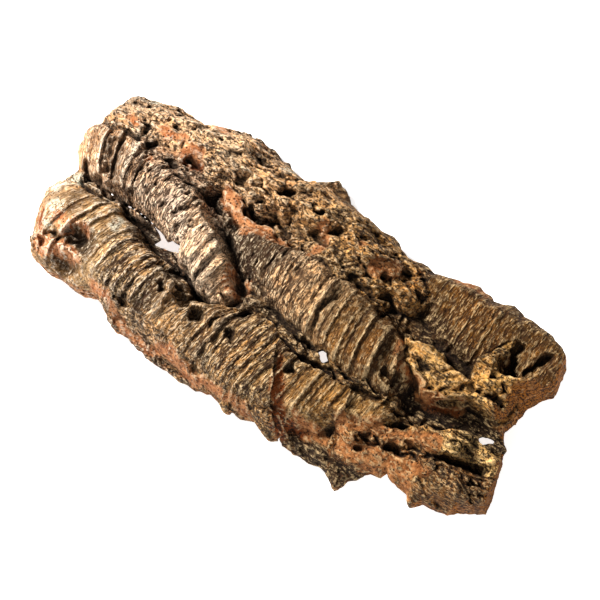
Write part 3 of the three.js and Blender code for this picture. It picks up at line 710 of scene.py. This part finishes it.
def plan_maps(x, y):
    """All maps over the plan: the coarse outer height, its fine relief, the inner height and the finishes.

    The coarse height is the arch plus the shell's thickness and the ribs, rolled down towards the rim."""
    m = {}
    m["within"] = inside_depth(x, y, RIM) + RIM_SWELL + RIM_RAGGED * turbulence(x / 7, y / 7, seed=3)
    m["sawn"] = smoothstep(x, SAWN_FROM - SAWN_BLEND, SAWN_FROM)
    m["slant"] = m["sawn"] * np.interp(y, SLANT_PLACES, SLANT)
    arch = np.sqrt(ARCH_RADIUS**2 - (y - ARCH_MIDDLE) ** 2) - ARCH_RADIUS + HOLLOW_HEIGHT
    m["inner"] = inner_height(x, y, arch)
    rolled = np.maximum(m["sawn"], smoothstep(m["within"], -ROUND_OVER, 0.8 * ROUND_OVER))

    warp = moved(x, y, 3.0, 13, 50)
    form = highest_forms(x, y, *warp)
    rib, top, flank = form["rib"], form["top"], form["flank"]
    m.update(tints(x, top))
    m["tone"] = LATTICE[form["facet"] % LATTICE_SIZE, 9, 5].astype(float)

    def over(*names):
        return np.isin(top, [FORMS.index(name) for name in names]) * 1.0

    # Coloured patches
    patch_x, patch_y = moved(x, y, 2.5, 6, 31)
    tan = painted(patch_x, patch_y, TAN_PATHS, -1, 1.5)
    m["rust"] = painted(patch_x, patch_y, RUST_PATHS, -1, 1.5)
    m["tan"] = np.maximum(tan, m["rust"])
    # Dark patches: stains, and painted shade in recesses and cavities
    m["stain_and_shade"] = painted(patch_x, patch_y, STAINS_AND_SHADE, -3, 3)
    m["lichen"] = np.zeros_like(x)
    for middle_x, middle_y, radius in LICHEN:
        away = np.hypot(patch_x - middle_x, patch_y - middle_y)
        m["lichen"] = np.maximum(m["lichen"], smoothstep(radius - away, -2, 1.5))

    # Which bark is pleated, rough, rugged or streaked
    on_rib = np.where(over("panel") > 0, smoothstep(rib, 0, 3), smoothstep(rib, 3, 12))
    band = smoothstep(y + 4 * noise(x / 18, y / 18, seed=8), BAND_FROM, BAND_FULL) * (x < BAND_END)
    m["pleated"] = pleated = over(*PLEATS) * on_rib * (1 - band) * (1 - 0.3 * flank)
    rough = np.maximum(np.maximum(band, 1 - on_rib), over(*FLAKY))
    rough = np.maximum(rough, 0.75 * flank * over("lower"))
    rough *= 1 - 0.6 * over("shelf") - 0.45 * over("ledge") * smoothstep(-x, -145, -120)
    uneven = 0.45 + 0.55 * smoothstep(noise(x / 30, y / 18, seed=29), -0.4, 0.3)
    m["rough"] = rough = np.clip(rough, 0, 1) * (1 - 0.7 * tan) * uneven
    patchy = 0.25 + 0.65 * smoothstep(noise(x / 22, y / 12, seed=36), -0.2, 0.3)
    rugged = np.clip(np.where(over(*PLEATS) > 0, form["minor"], patchy), 0.2, 1)
    m["rugged"] = rugged * (1 - 0.8 * over("shelf") - 0.35 * over("ledge"))
    along = band * smoothstep(x, -60, 0)
    m["streaked"] = np.maximum(pleated, 0.8 * along)
    m["grain_a"], m["grain_b"] = np.where(along > 0.5, y, form["q"]), np.where(along > 0.5, x, y)

    # Relief
    fine = pleat_relief(y, form, pleated, over("middle"))
    flakes, seams = flake_relief(x, y, *warp)
    fine += rough * flakes
    fine += (1 - rough) * 0.7 * turbulence(x / 9, y / 9, seed=19)
    sunk = carve(fine, x, y, *warp, band)
    m["seam"] = rough * seams
    # Crests and the grooves behind them, which the material paints as highlight and shade
    m["edge"] = form["edge"] * pleated * (1 - smoothstep(sunk, 0, 0.4))
    total = np.maximum(-0.5 * SHELL + 1.2 * turbulence(x / 5, y / 5, seed=26), rib + fine)
    shell = np.maximum(EDGE_LIFT, arch) + SHELL * (0.45 + 0.55 * rolled)
    m["coarse"] = shell + rib * rolled
    m["fine"] = (total - rib) * rolled
    return m


def sample(grid, i, j):
    """Values of a map between its grid points, blended from the four around each place."""
    i = np.clip(i, 0, grid.shape[0] - 1.001)
    j = np.clip(j, 0, grid.shape[1] - 1.001)
    i0, j0 = i.astype(int), j.astype(int)
    u, v = i - i0, j - j0
    low = grid[i0, j0] * (1 - u) + grid[i0 + 1, j0] * u
    return low * (1 - v) + (grid[i0, j0 + 1] * (1 - u) + grid[i0 + 1, j0 + 1] * u) * v


def soft_max(a, b, radius):
    """The larger of two fields, with the corner between them rounded over a radius."""
    h = np.clip(0.5 + 0.5 * (a - b) / radius, 0, 1)
    return a * h + b * (1 - h) + radius * h * (1 - h)


def tube_depth(x, y, z, start, end, radius):
    """How deep places lie in a round-ended tube: its radius less the distance to its middle line."""
    a, along = np.array(start, float), np.subtract(end, start, dtype=float)
    off = (x - a[0]) * along[0] + (y - a[1]) * along[1] + (z - a[2]) * along[2]
    t = np.clip(off / (along @ along), 0, 1)
    return radius - np.sqrt(sum((p - a[k] - t * along[k]) ** 2 for k, p in enumerate((x, y, z))))


def cut_split(solid, x, y, z, outline):
    """Cuts a leaning split with ragged sides out of one level of the solid, in place."""
    points = np.array(outline)
    shift = np.multiply(SPLIT_LEAN, z - SPLIT_HEIGHT)
    low, high = points.min(0) + shift - SPLIT_REACH, points.max(0) + shift + SPLIT_REACH
    near = (x > low[0]) & (x < high[0]) & (y > low[1]) & (y < high[1])
    near_x, near_y = x[near], y[near]
    depth = inside_depth(near_x - shift[0], near_y - shift[1], points)
    depth += turbulence(near_x / 4, near_y / 4, z / 6, seed=46)
    solid[near] = np.maximum(solid[near], depth)


def bark_field(xs, ys, zs, maps):
    """The solid field, negative inside the bark, one level of height at a time.

    Each level takes the largest of these distances: above the outer face, below the inner face, below the
    floor, outside the rim, and inside a cave or a split. The fine relief is read at a place that leans
    with the height, and its distance is divided by the slope there."""
    x, y = np.meshgrid(xs, ys, indexing="ij")
    rows, columns = np.meshgrid(np.arange(len(xs)), np.arange(len(ys)), indexing="ij")
    slope_x, slope_y = np.gradient(maps["coarse"] + maps["fine"], STEP)
    steepness = np.sqrt(1 + np.minimum(slope_x**2 + slope_y**2, STEEPEST_SQUARED))
    field = np.empty((len(xs), len(ys), len(zs)), np.float32)
    worn = smoothstep(noise(x / 9, y / 9, seed=37), -0.3, 0.5)
    corner = RIM_ROUND + SAWN_ROUND * maps["sawn"] * worn
    least = maps["inner"] + LEAST_BARK
    crumb = 0.2 + 0.4 * maps["rough"]
    for level, z in enumerate(zs):
        lean = np.clip(z - maps["coarse"], -LEAN_REACH, LEAN_REACH)
        i = rows - RELIEF_LEAN[0] * lean / STEP
        j = columns - RELIEF_LEAN[1] * lean / STEP
        height = np.maximum(maps["coarse"] + sample(maps["fine"], i, j), least)
        outer = (z - height) / sample(steepness, i, j)
        near = (np.abs(outer) < CRUMBS_DOWN) | (maps["within"] < CRUMBS_IN)
        grain = np.zeros_like(x)
        grain[near] = crumb[near] * turbulence(x[near] / 6, y[near] / 2.6, z / 2.8, seed=41)
        above_inner = z - maps["inner"]
        strata = 0.7 * np.sin(above_inner / 0.9 + 2.5 * noise(x / 25, y / 25, z / 40, seed=43))
        side = -maps["within"] + (1 - maps["sawn"]) * (strata + 1.4 * grain)
        side += maps["slant"] * max(0, z - SLANT_FROM)
        side += maps["sawn"] * 0.35 * turbulence(x / 1.6, y / 1.6, z / 1.6, seed=44)
        solid = soft_max(outer + grain, side, corner)
        solid = soft_max(solid, -above_inner, INNER_ROUND)
        solid = np.maximum(solid, -z)
        for start, end, radius in CAVES:
            cave = np.minimum(tube_depth(x, y, z, start, end, radius) + 1.6 * grain, z - least)
            solid = np.maximum(solid, cave)
        for outline in SPLITS:
            cut_split(solid, x, y, z, outline)
        field[:, :, level] = solid
    field[[0, -1]] = field[:, [0, -1]] = field[:, :, [0, -1]] = 1
    return field


CORNERS = np.array([(i, j, k) for i in (0, 1) for j in (0, 1) for k in (0, 1)])


def zero_surface(field):
    """The surface where a field is zero, as vertices in grid units and quads that face outwards.

    Every grid cell that the surface passes through gets one vertex, at the mean of the places where the
    field changes sign along the cell's edges. Every grid edge with such a change gets one quad."""
    inside = field < 0
    count = np.zeros(np.array(field.shape) - 1, np.int8)
    n = count.shape
    for i, j, k in CORNERS:
        count += inside[i : i + n[0], j : j + n[1], k : k + n[2]]
    where = np.argwhere((count > 0) & (count < 8))
    index = np.full(n, -1, np.int32)
    index[tuple(where.T)] = np.arange(len(where))
    total, hits = np.zeros((len(where), 3)), np.zeros(len(where))
    for a in CORNERS:
        for axis in range(3):
            if a[axis] == 0:
                b = a + np.eye(3, dtype=int)[axis]
                low, high = field[tuple((where + a).T)], field[tuple((where + b).T)]
                cross = (low < 0) != (high < 0)
                t = np.where(cross, low / np.where(cross, low - high, 1), 0)
                total += cross[:, None] * (a + t[:, None] * (b - a))
                hits += cross
    vertices = where + total / hits[:, None]
    quads = []
    for axis in range(3):
        u, v = np.eye(3, dtype=int)[(axis + 1) % 3], np.eye(3, dtype=int)[(axis + 2) % 3]
        first = np.take(inside, range(field.shape[axis] - 1), axis)
        second = np.take(inside, range(1, field.shape[axis]), axis)
        edges = np.argwhere(first != second)
        loop = np.stack([index[tuple((edges - s).T)] for s in (0 * u, u, u + v, v)], 1)
        flip = ~first[tuple(edges.T)]
        loop[flip] = loop[flip, ::-1]
        quads.append(loop)
    return vertices, np.vstack(quads)


def largest_body(count, quads):
    """Which vertices belong to the largest connected body: labels spread along edges until they settle."""
    label = np.arange(count)
    edges = np.vstack([quads[:, [0, 1]], quads[:, [1, 2]], quads[:, [2, 3]], quads[:, [3, 0]]])
    while True:
        a, b = label[edges[:, 0]], label[edges[:, 1]]
        differ = a != b
        if not differ.any():
            break
        low, high = np.minimum(a, b)[differ], np.maximum(a, b)[differ]
        np.minimum.at(label, high, low)
        while True:
            shorter = label[label]
            if (shorter == label).all():
                break
            label = shorter
    sizes = np.bincount(label, minlength=count)
    return label == sizes.argmax()


def box_mean(volume, reach):
    """Mean of a volume over a box of grid points, by running sums along each axis."""
    for axis in range(3):
        pad = [(0, 0)] * 3
        pad[axis] = (reach + 1, reach)
        run = np.cumsum(np.pad(volume, pad, mode="edge"), axis=axis, dtype=np.float32)
        length = volume.shape[axis]
        high = np.take(run, range(2 * reach + 1, 2 * reach + 1 + length), axis)
        volume = (high - np.take(run, range(length), axis)) / (2 * reach + 1)
    return volume


def sample_volume(volume, points):
    """Values of a volume at the nearest grid point of each place."""
    near = np.clip(np.rint(points).astype(int), 0, np.array(volume.shape) - 1)
    return volume[tuple(near.T)]


def mesh_object(name, vertices, polygons):
    """A mesh object from arrays of vertices and of quads."""
    mesh = bpy.data.meshes.new(name)
    mesh.vertices.add(len(vertices))
    mesh.vertices.foreach_set("co", np.ascontiguousarray(vertices, np.float32).ravel())
    mesh.loops.add(polygons.size)
    mesh.loops.foreach_set("vertex_index", np.ascontiguousarray(polygons, np.int32).ravel())
    mesh.polygons.add(len(polygons))
    mesh.polygons.foreach_set("loop_start", np.arange(0, polygons.size, polygons.shape[1], dtype=np.int32))
    mesh.update(calc_edges=True)
    mesh.validate()
    piece = bpy.data.objects.new(name, mesh)
    bpy.context.scene.collection.objects.link(piece)
    return piece


def thinned(piece, triangles):
    """The piece's mesh with fewer faces, flat places losing the most."""
    count = len(piece.data.loops) - 2 * len(piece.data.polygons)
    if count > triangles:
        modifier = piece.modifiers.new("thin", "DECIMATE")
        modifier.ratio = triangles / count
        shown = piece.evaluated_get(bpy.context.evaluated_depsgraph_get())
        mesh = bpy.data.meshes.new_from_object(shown)
        piece.modifiers.clear()
        spare, piece.data = piece.data, mesh
        bpy.data.meshes.remove(spare)
        mesh.name = piece.name
    piece.data.shade_smooth()
    return piece


def add_attribute(mesh, name, values):
    """A value or a vector at each vertex, for the material to read."""
    kind, field = ("FLOAT", "value") if values.ndim == 1 else ("FLOAT_VECTOR", "vector")
    attribute = mesh.attributes.new(name, kind, "POINT")
    attribute.data.foreach_set(field, np.ascontiguousarray(values, np.float32).ravel())


def read_vectors(source, field, count):
    """One vector for each vertex, as an array."""
    values = np.empty(count * 3, np.float32)
    source.foreach_get(field, values)
    return values.reshape(-1, 3)


def add_finishes(mesh, shift, start, field, maps):
    """Attributes for the material: the maps read at each vertex, and how much bark lies close round it."""
    count = len(mesh.vertices)
    plan = read_vectors(mesh.vertices, "co", count) / MM - shift
    normal = read_vectors(mesh.vertex_normals, "vector", count)
    grid = (plan - start) / STEP
    filled = (field < 0).astype(np.float32)

    def at(name):
        return sample(maps[name], grid[:, 0], grid[:, 1])

    depth = plan[:, 2] - at("coarse") - at("fine")
    inner = smoothstep(at("inner") + 4 - plan[:, 2], 0, 3) * smoothstep(-normal[:, 2], -0.1, 0.3)
    within = at("within") - at("slant") * np.maximum(0, plan[:, 2] - SLANT_FROM)
    broken = smoothstep(3 - within, 0, 2) * smoothstep(-depth, 2, 6) * (1 - inner)
    faces_end = smoothstep(normal[:, 0], 0.45, 0.65)
    finishes = {
        "tan": np.maximum(at("tan") * smoothstep(depth, -9, -4), 0.85 * broken),
        "inner": inner,
        "sawn": at("sawn") * smoothstep(2.5 - within, 0, 1.5) * faces_end,
        # Share of bark round each vertex, near and broad: the material paints shade where it is high and a
        # highlight where it is low
        "close": sample_volume(box_mean(filled, CLOSE_REACH), grid + normal),
        "broad": sample_volume(box_mean(filled, BROAD_REACH), grid + 2 * normal),
        "tint": np.stack([at("tint_r"), at("tint_g"), at("tint_b")], 1),
        "lichen": at("lichen") * smoothstep(normal[:, 2], -0.2, 0.3),
        "grain": np.stack([at("grain_a"), at("grain_b"), plan[:, 2]], 1),
    }
    for name in ("rough", "pleated", "streaked", "tone", "edge", "rugged", "stain_and_shade", "seam", "rust"):
        finishes[name] = at(name)
    for name, values in finishes.items():
        add_attribute(mesh, name, values)


def cork_bark():
    """The bark's mesh, with the finishes of its surface as attributes."""
    low, high = (np.array(c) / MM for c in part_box(NODE))
    plan_shift = low[:2] - RIM.min(0)
    xs, ys = (np.arange(side.min() - MARGIN, side.max() + MARGIN, STEP) for side in RIM.T)
    zs = np.arange(-2 * STEP, high[2] + MARGIN, STEP) + OFF_FLOOR
    maps = plan_maps(*np.meshgrid(xs, ys, indexing="ij"))
    field = bark_field(xs, ys, zs, maps)
    vertices, quads = zero_surface(field)
    keep = largest_body(len(vertices), quads)
    new_index = np.cumsum(keep) - 1
    quads = new_index[quads[keep[quads[:, 0]]]]
    start = np.array([xs[0], ys[0], zs[0]])
    shift = np.array([*plan_shift, 0])
    points = (start + vertices[keep] * STEP + shift) * MM
    piece = thinned(mesh_object("cork_bark", points, quads), TRIANGLES)
    add_finishes(piece.data, shift, start, field, maps)
    return piece


class Value:
    """A socket of a material's nodes that can be used in sums, like a number."""

    def __init__(self, finish, socket):
        self.finish, self.socket = finish, socket

    def __add__(self, other):
        return self.finish.math("ADD", self, other)

    def __sub__(self, other):
        return self.finish.math("SUBTRACT", self, other)

    def __rsub__(self, other):
        return self.finish.math("SUBTRACT", other, self)

    def __mul__(self, other):
        return self.finish.math("MULTIPLY", self, other)

    __radd__, __rmul__ = __add__, __mul__


class Finish:
    """A material and its nodes."""

    def __init__(self, name):
        self.material = bpy.data.materials.new(name)
        self.material.use_nodes = True
        self.tree = self.material.node_tree

    def fill(self, inputs, sockets):
        """Sets the inputs of a node to values, or links them to the sockets of other nodes."""
        for name, value in sockets.items():
            if isinstance(value, Value):
                self.tree.links.new(value.socket, inputs[name])
            else:
                inputs[name].default_value = value

    def node(self, kind, settings=None, sockets=None, output=0):
        """A node of a kind, its settings set first, then the values or links of its sockets."""
        made = self.tree.nodes.new(kind)
        for name, value in (settings or {}).items():
            setattr(made, name, value)
        self.fill(made.inputs, sockets or {})
        return Value(self, made.outputs[output])

    def surface(self, sockets):
        """The finished material, with the values or links of its shader's sockets."""
        self.fill(self.tree.nodes["Principled BSDF"].inputs, sockets)
        return self.material

    def math(self, operation, *values):
        return self.node("ShaderNodeMath", {"operation": operation}, dict(enumerate(values)))

    def attribute(self, name, output="Fac"):
        return self.node("ShaderNodeAttribute", {"attribute_name": name}, output=output)

    def mix(self, factor, a, b, blend="MIX"):
        """A mix of two colours."""
        settings = {"data_type": "RGBA", "blend_type": blend}
        return self.node("ShaderNodeMix", settings, {0: factor, 6: a, 7: b}, output=2)

    def scaled(self, vector, scale):
        return self.node("ShaderNodeVectorMath", {"operation": "MULTIPLY"}, {0: vector, 1: scale})

    def sized(self, vector, *lengths):
        """A vector in which one unit stands for these lengths along its three axes."""
        return self.scaled(vector, tuple(1 / length for length in lengths))

    def noise(self, vector, scale, detail, roughness):
        sockets = {"Vector": vector, "Scale": scale, "Detail": detail, "Roughness": roughness}
        return self.node("ShaderNodeTexNoise", {}, sockets)

    def cells(self, vector, scale, feature="F1", output=0):
        """Cells round scattered points: the distance to the point or the seam, or a colour for each cell."""
        sockets = {"Vector": vector, "Scale": scale}
        return self.node("ShaderNodeTexVoronoi", {"feature": feature}, sockets, output)

    def steps(self, value, low, high):
        """A smooth step from 0 where a value is at low to 1 where it is at high."""
        sockets = {"Value": value, 1: low, 2: high}
        return self.node("ShaderNodeMapRange", {"interpolation_type": "SMOOTHSTEP"}, sockets)

    def patches(self, vector, scale, detail, roughness, low, high):
        """Soft-edged patches where a noise is high."""
        return self.steps(self.noise(vector, scale, detail, roughness), low, high)

    def lines(self, vector, width):
        """Thin lines where a noise passes through its middle."""
        off = self.math("ABSOLUTE", self.noise(vector, 1.0, 2, 0.5) - 0.5)
        return self.steps(off, width, 0.25 * width)


# Colours of the finishes; a pair is for the weathered end and the sawn end
# Dark stains, also used as painted shade in recesses and cavities
STAIN_AND_SHADE = colour(30, 20, 11)
TAN_DEEP = colour(170, 100, 56), colour(130, 76, 36)
TAN_LIGHT = colour(222, 158, 110), colour(196, 130, 76)
RUST = colour(126, 62, 18)
# Pale crust, also used as a painted highlight on crests and convex edges
PALE_CRUST_AND_HIGHLIGHT = colour(252, 233, 208), colour(234, 200, 148)
# Painted shade in the groove behind each pleat's crest
GROOVE_SHADE = colour(74, 48, 29)
PIT = colour(58, 36, 20)
SPECK = colour(50, 31, 17)
FISSURE = colour(54, 33, 19)
SEAM = colour(44, 28, 17)
CRACK = colour(40, 25, 15)
PORE = colour(50, 30, 17)
# Painted shade in creases and close recesses, and deeper painted shade in broad hollows
CREVICE_SHADE = colour(40, 25, 14)
DEEP_SHADE = colour(30, 19, 11)
LICHEN_CRUST = colour(224, 219, 198)
SAWN_DARK, SAWN_LIGHT = colour(60, 34, 11), colour(176, 108, 40)
BELLY_DARK, BELLY_LIGHT = colour(138, 94, 58), colour(188, 146, 104)
BELLY_SPECK = colour(64, 40, 24)

# Linear factors on the bark's colour: ageing along the slab, and cool to warm patches
AGEING = (1.0, 0.9, 0.78, 1), (1.0, 0.83, 0.54, 1)
COOL, WARM = (0.88, 0.95, 1.02, 1), (1.08, 1.0, 0.86, 1)

LONG_GRAIN = (0.4, 1, 1)  # scale that draws grains out along the slab
BUMP_DEPTH = 1.6  # millimetres


def bark_finish():
    """Weathered bark: streaked facets, painted shade in the crevices, dark specks, tan broken cork and pale
    lichen.

    A tint times a mottled brightness gives the bark, tan replaces it where the cork is broken, and then
    layers of pale crust and painted highlights, dark marks, painted shade and lichen are laid over it in
    turn."""
    f = Finish("weathered_cork")
    mm = f.scaled(f.node("ShaderNodeTexCoord", output="Object"), (1 / MM,) * 3)
    grain = f.attribute("grain", "Vector")
    pleated, rough, streaked, rugged = map(f.attribute, ("pleated", "rough", "streaked", "rugged"))
    close, broad, edge, rust = map(f.attribute, ("close", "broad", "edge", "rust"))
    to_right = f.steps(f.node("ShaderNodeSeparateXYZ", {}, {0: mm}), -150, 110)

    # Patterns: drawn out along the pleats where the bark is streaked, and rounder elsewhere
    streaks = f.noise(f.sized(grain, 1.3, 9, 6), 1.0, 3, 0.7)
    fibres = f.noise(f.sized(grain, 3.4, 28, 20), 1.0, 2, 0.55)
    speckle = f.noise(f.scaled(mm, LONG_GRAIN), 0.8, 3, 0.7)
    grit_round = f.noise(f.scaled(mm, LONG_GRAIN), 0.95, 1, 0.5)
    grit_long = f.noise(f.sized(grain, 1.0, 3.4, 2.4), 1.0, 1, 0.5)
    grit = grit_round + (grit_long - grit_round) * streaked - 0.5
    texture = speckle + (streaks - speckle) * (streaked * 0.7) + grit * 0.3
    blotch = f.noise(mm, 0.11, 4, 0.62)
    broken = f.patches(mm, 0.3, 2, 0.6, 0.44, 0.56)
    along = f.lines(f.sized(grain, 3.0, 16, 12), 0.065) * streaked
    short = f.lines(f.sized(grain, 2.2, 5, 5), 0.06) * broken
    fissures = f.math("MAXIMUM", along, short)

    # Flakes: a grey for each, which the product below makes of its cell's colour, and the cracks between
    warp = f.node("ShaderNodeTexNoise", {}, {"Vector": mm, "Scale": 0.25, "Detail": 2.0}, output="Color")
    warped = f.node("ShaderNodeVectorMath", {"operation": "MULTIPLY_ADD"}, {0: warp, 1: (5, 5, 5), 2: mm})
    flakes = f.scaled(warped, (0.14, 0.3, 0.3))
    flake_tone = f.cells(flakes, 1.0, output="Color") * 1.0
    flake_gap = f.cells(flakes, 1.0, "DISTANCE_TO_EDGE")
    cracks = f.steps(flake_gap, 0.17, 0.07) * (0.15 + broken * 0.85) * f.steps(rough, 0.05, 0.5)

    # Bark: its tint times a brightness
    value = 1.05 + (fibres - 0.5) * pleated * (0.7 + rugged * 1.5) + (blotch - 0.5) * 1.8
    value = value + (texture - 0.5) * (0.8 + rugged * 1.4) + grit * (0.5 + rugged * 1.1)
    value = value + (f.attribute("tone") - 0.5) * pleated * 0.5 + (flake_tone - 0.3) * rough * 1.3
    bark = f.mix(1.0, f.attribute("tint", "Color"), f.math("MAXIMUM", value, 0.15), "MULTIPLY")
    # Dark stains, and painted shade in the recesses and cavities that some of them cover
    bark = f.mix(f.attribute("stain_and_shade") * 0.95, bark, STAIN_AND_SHADE)
    bark = f.mix(1.0, bark, f.mix(to_right, *AGEING), "MULTIPLY")
    bark = f.mix(1.0, bark, f.mix(f.patches(mm, 0.05, 3, 0.6, 0.35, 0.65), COOL, WARM), "MULTIPLY")

    # Broken cork
    orange = f.patches(mm, 0.13, 4, 0.7, 0.56, 0.66) * rough * 0.75
    tan_mask = f.math("MAXIMUM", f.attribute("tan"), orange)
    tan_tone = f.patches(mm, 0.2, 4, 0.65, 0.35, 0.65)
    tan = f.mix(tan_tone, f.mix(to_right, *TAN_DEEP), f.mix(to_right, *TAN_LIGHT))
    base = f.mix(tan_mask, bark, f.mix(rust, tan, RUST))

    # Sawn face and inner face
    specks = f.steps(texture, 0.45, 0.42) * 0.92
    sawn = f.mix(f.steps(speckle + grit * 0.7, 0.4, 0.58), SAWN_DARK, SAWN_LIGHT)
    sawn_mask = f.attribute("sawn") * f.patches(mm, 0.16, 3, 0.6, 0.36, 0.46)
    belly_tone = f.patches(f.scaled(mm, (0.25, 1, 1)), 0.12, 4, 0.65, 0.35, 0.7)
    belly = f.mix(specks, f.mix(belly_tone, BELLY_DARK, BELLY_LIGHT), BELLY_SPECK)

    # Layers over the bark and the broken cork, painted highlights and painted shade among them
    pale = f.mix(to_right, *PALE_CRUST_AND_HIGHLIGHT)
    worn = 1 - tan_mask * 0.82 - rust * 0.15
    crusted = 0.25 + f.patches(mm, 0.09, 3, 0.6, 0.42, 0.56) * 0.75
    pits = f.steps(grit, -0.09, -0.12) * (0.12 + rugged * 0.8) * crusted
    pores = f.steps(f.cells(mm, 0.36) - tan_mask * 0.06, 0.22, 0.12) * 0.85
    # How strong the painted shade in creases and hollows is: weaker on tan cork and on pleats
    shade_weight = 0.88 - tan_mask * 0.25 - pleated * 0.2
    lichen = f.attribute("lichen") * f.patches(mm, 0.22, 3, 0.7, 0.42, 0.52)
    layers = [
        # Pale crust on convex edges, partly a painted highlight where little bark lies close round them
        (f.steps(close, 0.26, 0.12) * 0.6, pale),
        # Painted highlight along the pleats' crest lines
        (f.steps(edge, 0.15, 0.8) * 0.62, pale),
        (f.steps(texture, 0.56, 0.59) * worn * (0.1 + rugged * 0.6), pale),
        # Painted shade in the groove behind each crest
        (f.steps(edge, -0.15, -0.8) * 0.6, GROOVE_SHADE),
        (f.steps(grit, 0.1, 0.14) * worn * (0.1 + rugged * 0.3) * crusted, pale),
        (pits * worn, PIT),
        (specks * worn * (0.15 + rugged * 0.5 + rough * 0.25), SPECK),
        (fissures * worn * (0.3 + rugged * 0.6), FISSURE),
        (f.attribute("seam") * 0.75, SEAM),
        (cracks * 0.85, CRACK),
        (pores, PORE),
        # Painted shade in creases, where much bark lies close round
        (f.steps(close, 0.44, 0.64) * shade_weight, CREVICE_SHADE),
        # Broader painted shade in hollows and recesses
        (f.steps(broad, 0.4, 0.68) * shade_weight, DEEP_SHADE),
        (lichen * f.steps(texture, 0.4, 0.46) * 0.9, LICHEN_CRUST),
        (sawn_mask, sawn),
        (f.attribute("inner"), belly),
    ]
    for mask, shade in layers:
        base = f.mix(mask, base, shade)

    height = texture * (0.9 + rugged * 1.2 - rough * 0.3) + grit * (0.3 + rugged * 0.6)
    height = height + flake_tone * rough * 0.5 - cracks * 0.5 - pores * 0.6 - fissures * 0.5
    bump = f.node("ShaderNodeBump", {}, {"Strength": 1.0, "Distance": BUMP_DEPTH * MM, "Height": height})
    return f.surface({"Base Color": base, "Roughness": 0.92, "Specular IOR Level": 0.2, "Normal": bump})


def floor_finish():
    """A white studio floor that gives a little light of its own, so that it stays pale under the slab."""
    white = (1, 1, 1, 1)
    glow = {"Emission Color": white, "Emission Strength": 0.75}
    return Finish("pale_floor").surface({"Base Color": (0.9, 0.9, 0.9, 1), "Roughness": 0.9, **glow})


# The photograph's view: direction towards the camera, turn of the slab's long axis, and framing
CAMERA_TILT = (0.30, -0.20)
LONG_AXIS_TURN = 32
CAMERA_DISTANCE = 921
SENSOR = 36
PLAN_TARGET = (0, 0, 34)
TARGET_PIXEL = (291.5, 304.6)
MM_A_PIXEL = 0.65
PIXELS = 600


def add_camera(plan_shift):
    """A camera on the photograph's line of sight, turned so that the slab's long axis falls to the right."""
    c = np.array([*CAMERA_TILT, np.sqrt(1 - np.dot(CAMERA_TILT, CAMERA_TILT))])
    along = np.array([1.0, 0, 0]) - c[0] * c
    along /= np.linalg.norm(along)
    across = np.cross(c, along)
    turn = np.radians(LONG_AXIS_TURN)
    right = np.cos(turn) * along + np.sin(turn) * across
    up = -np.sin(turn) * along + np.cos(turn) * across
    target = np.array(PLAN_TARGET) + [*plan_shift, 0]
    offset = np.array([PIXELS / 2 - TARGET_PIXEL[0], TARGET_PIXEL[1] - PIXELS / 2]) * MM_A_PIXEL
    aim = target + offset[0] * right + offset[1] * up
    data = bpy.data.cameras.new("camera")
    data.sensor_width = SENSOR
    data.lens = SENSOR * CAMERA_DISTANCE / (PIXELS * MM_A_PIXEL)
    data.clip_start, data.clip_end = 0.01, 50
    camera = bpy.data.objects.new("camera", data)
    frame_matrix = Matrix(np.column_stack([right, up, c]).tolist()).to_4x4()
    frame_matrix.translation = Vector((aim + CAMERA_DISTANCE * c) * MM)
    camera.matrix_world = frame_matrix
    bpy.context.scene.collection.objects.link(camera)
    bpy.context.scene.camera = camera


# Studio: half the floor's side, the point that the lights face, and the strength of the even sky
FLOOR_HALF = 10.0
LIGHT_AIM = (0, 0, 0.03)
SKY = 0.2

# Soft square lights: place, side, power in watts, tint
LIGHTS = {
    "key": ((-0.7, 0.02, 0.78), 0.28, 23, (1.0, 0.95, 0.88)),
    "fill": ((0.5, -0.7, 0.9), 0.8, 4.5, (1.0, 0.98, 0.95)),
}


def add_light(name, place, side, power, tint):
    """A soft square light that faces the slab."""
    data = bpy.data.lights.new(name, "AREA")
    data.size, data.energy, data.color = side, power, tint
    lamp = bpy.data.objects.new(name, data)
    lamp.location = place
    lamp.rotation_euler = (Vector(LIGHT_AIM) - Vector(place)).to_track_quat("-Z", "Y").to_euler()
    bpy.context.scene.collection.objects.link(lamp)


def add_studio():
    """A pale floor, a key light beyond the weathered end, a weak fill and a dim even sky."""
    corners = FLOOR_HALF * np.array([(-1, -1, 0), (1, -1, 0), (1, 1, 0), (-1, 1, 0)])
    floor = mesh_object("floor", corners, np.array([[0, 1, 2, 3]]))
    floor.data.materials.append(floor_finish())
    for name, light in LIGHTS.items():
        add_light(name, *light)
    world = bpy.data.worlds.new("studio")
    world.use_nodes = True
    world.node_tree.nodes["Background"].inputs["Color"].default_value = (1, 1, 1, 1)
    world.node_tree.nodes["Background"].inputs["Strength"].default_value = SKY
    bpy.context.scene.world = world
    bpy.context.scene.view_settings.view_transform = "Standard"


bark = cork_bark()
bark.data.materials.append(bark_finish())
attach(bark, "root")
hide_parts(NODE)

box_low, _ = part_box(NODE)
add_camera(np.array(box_low)[:2] / MM - RIM.min(0))
add_studio()
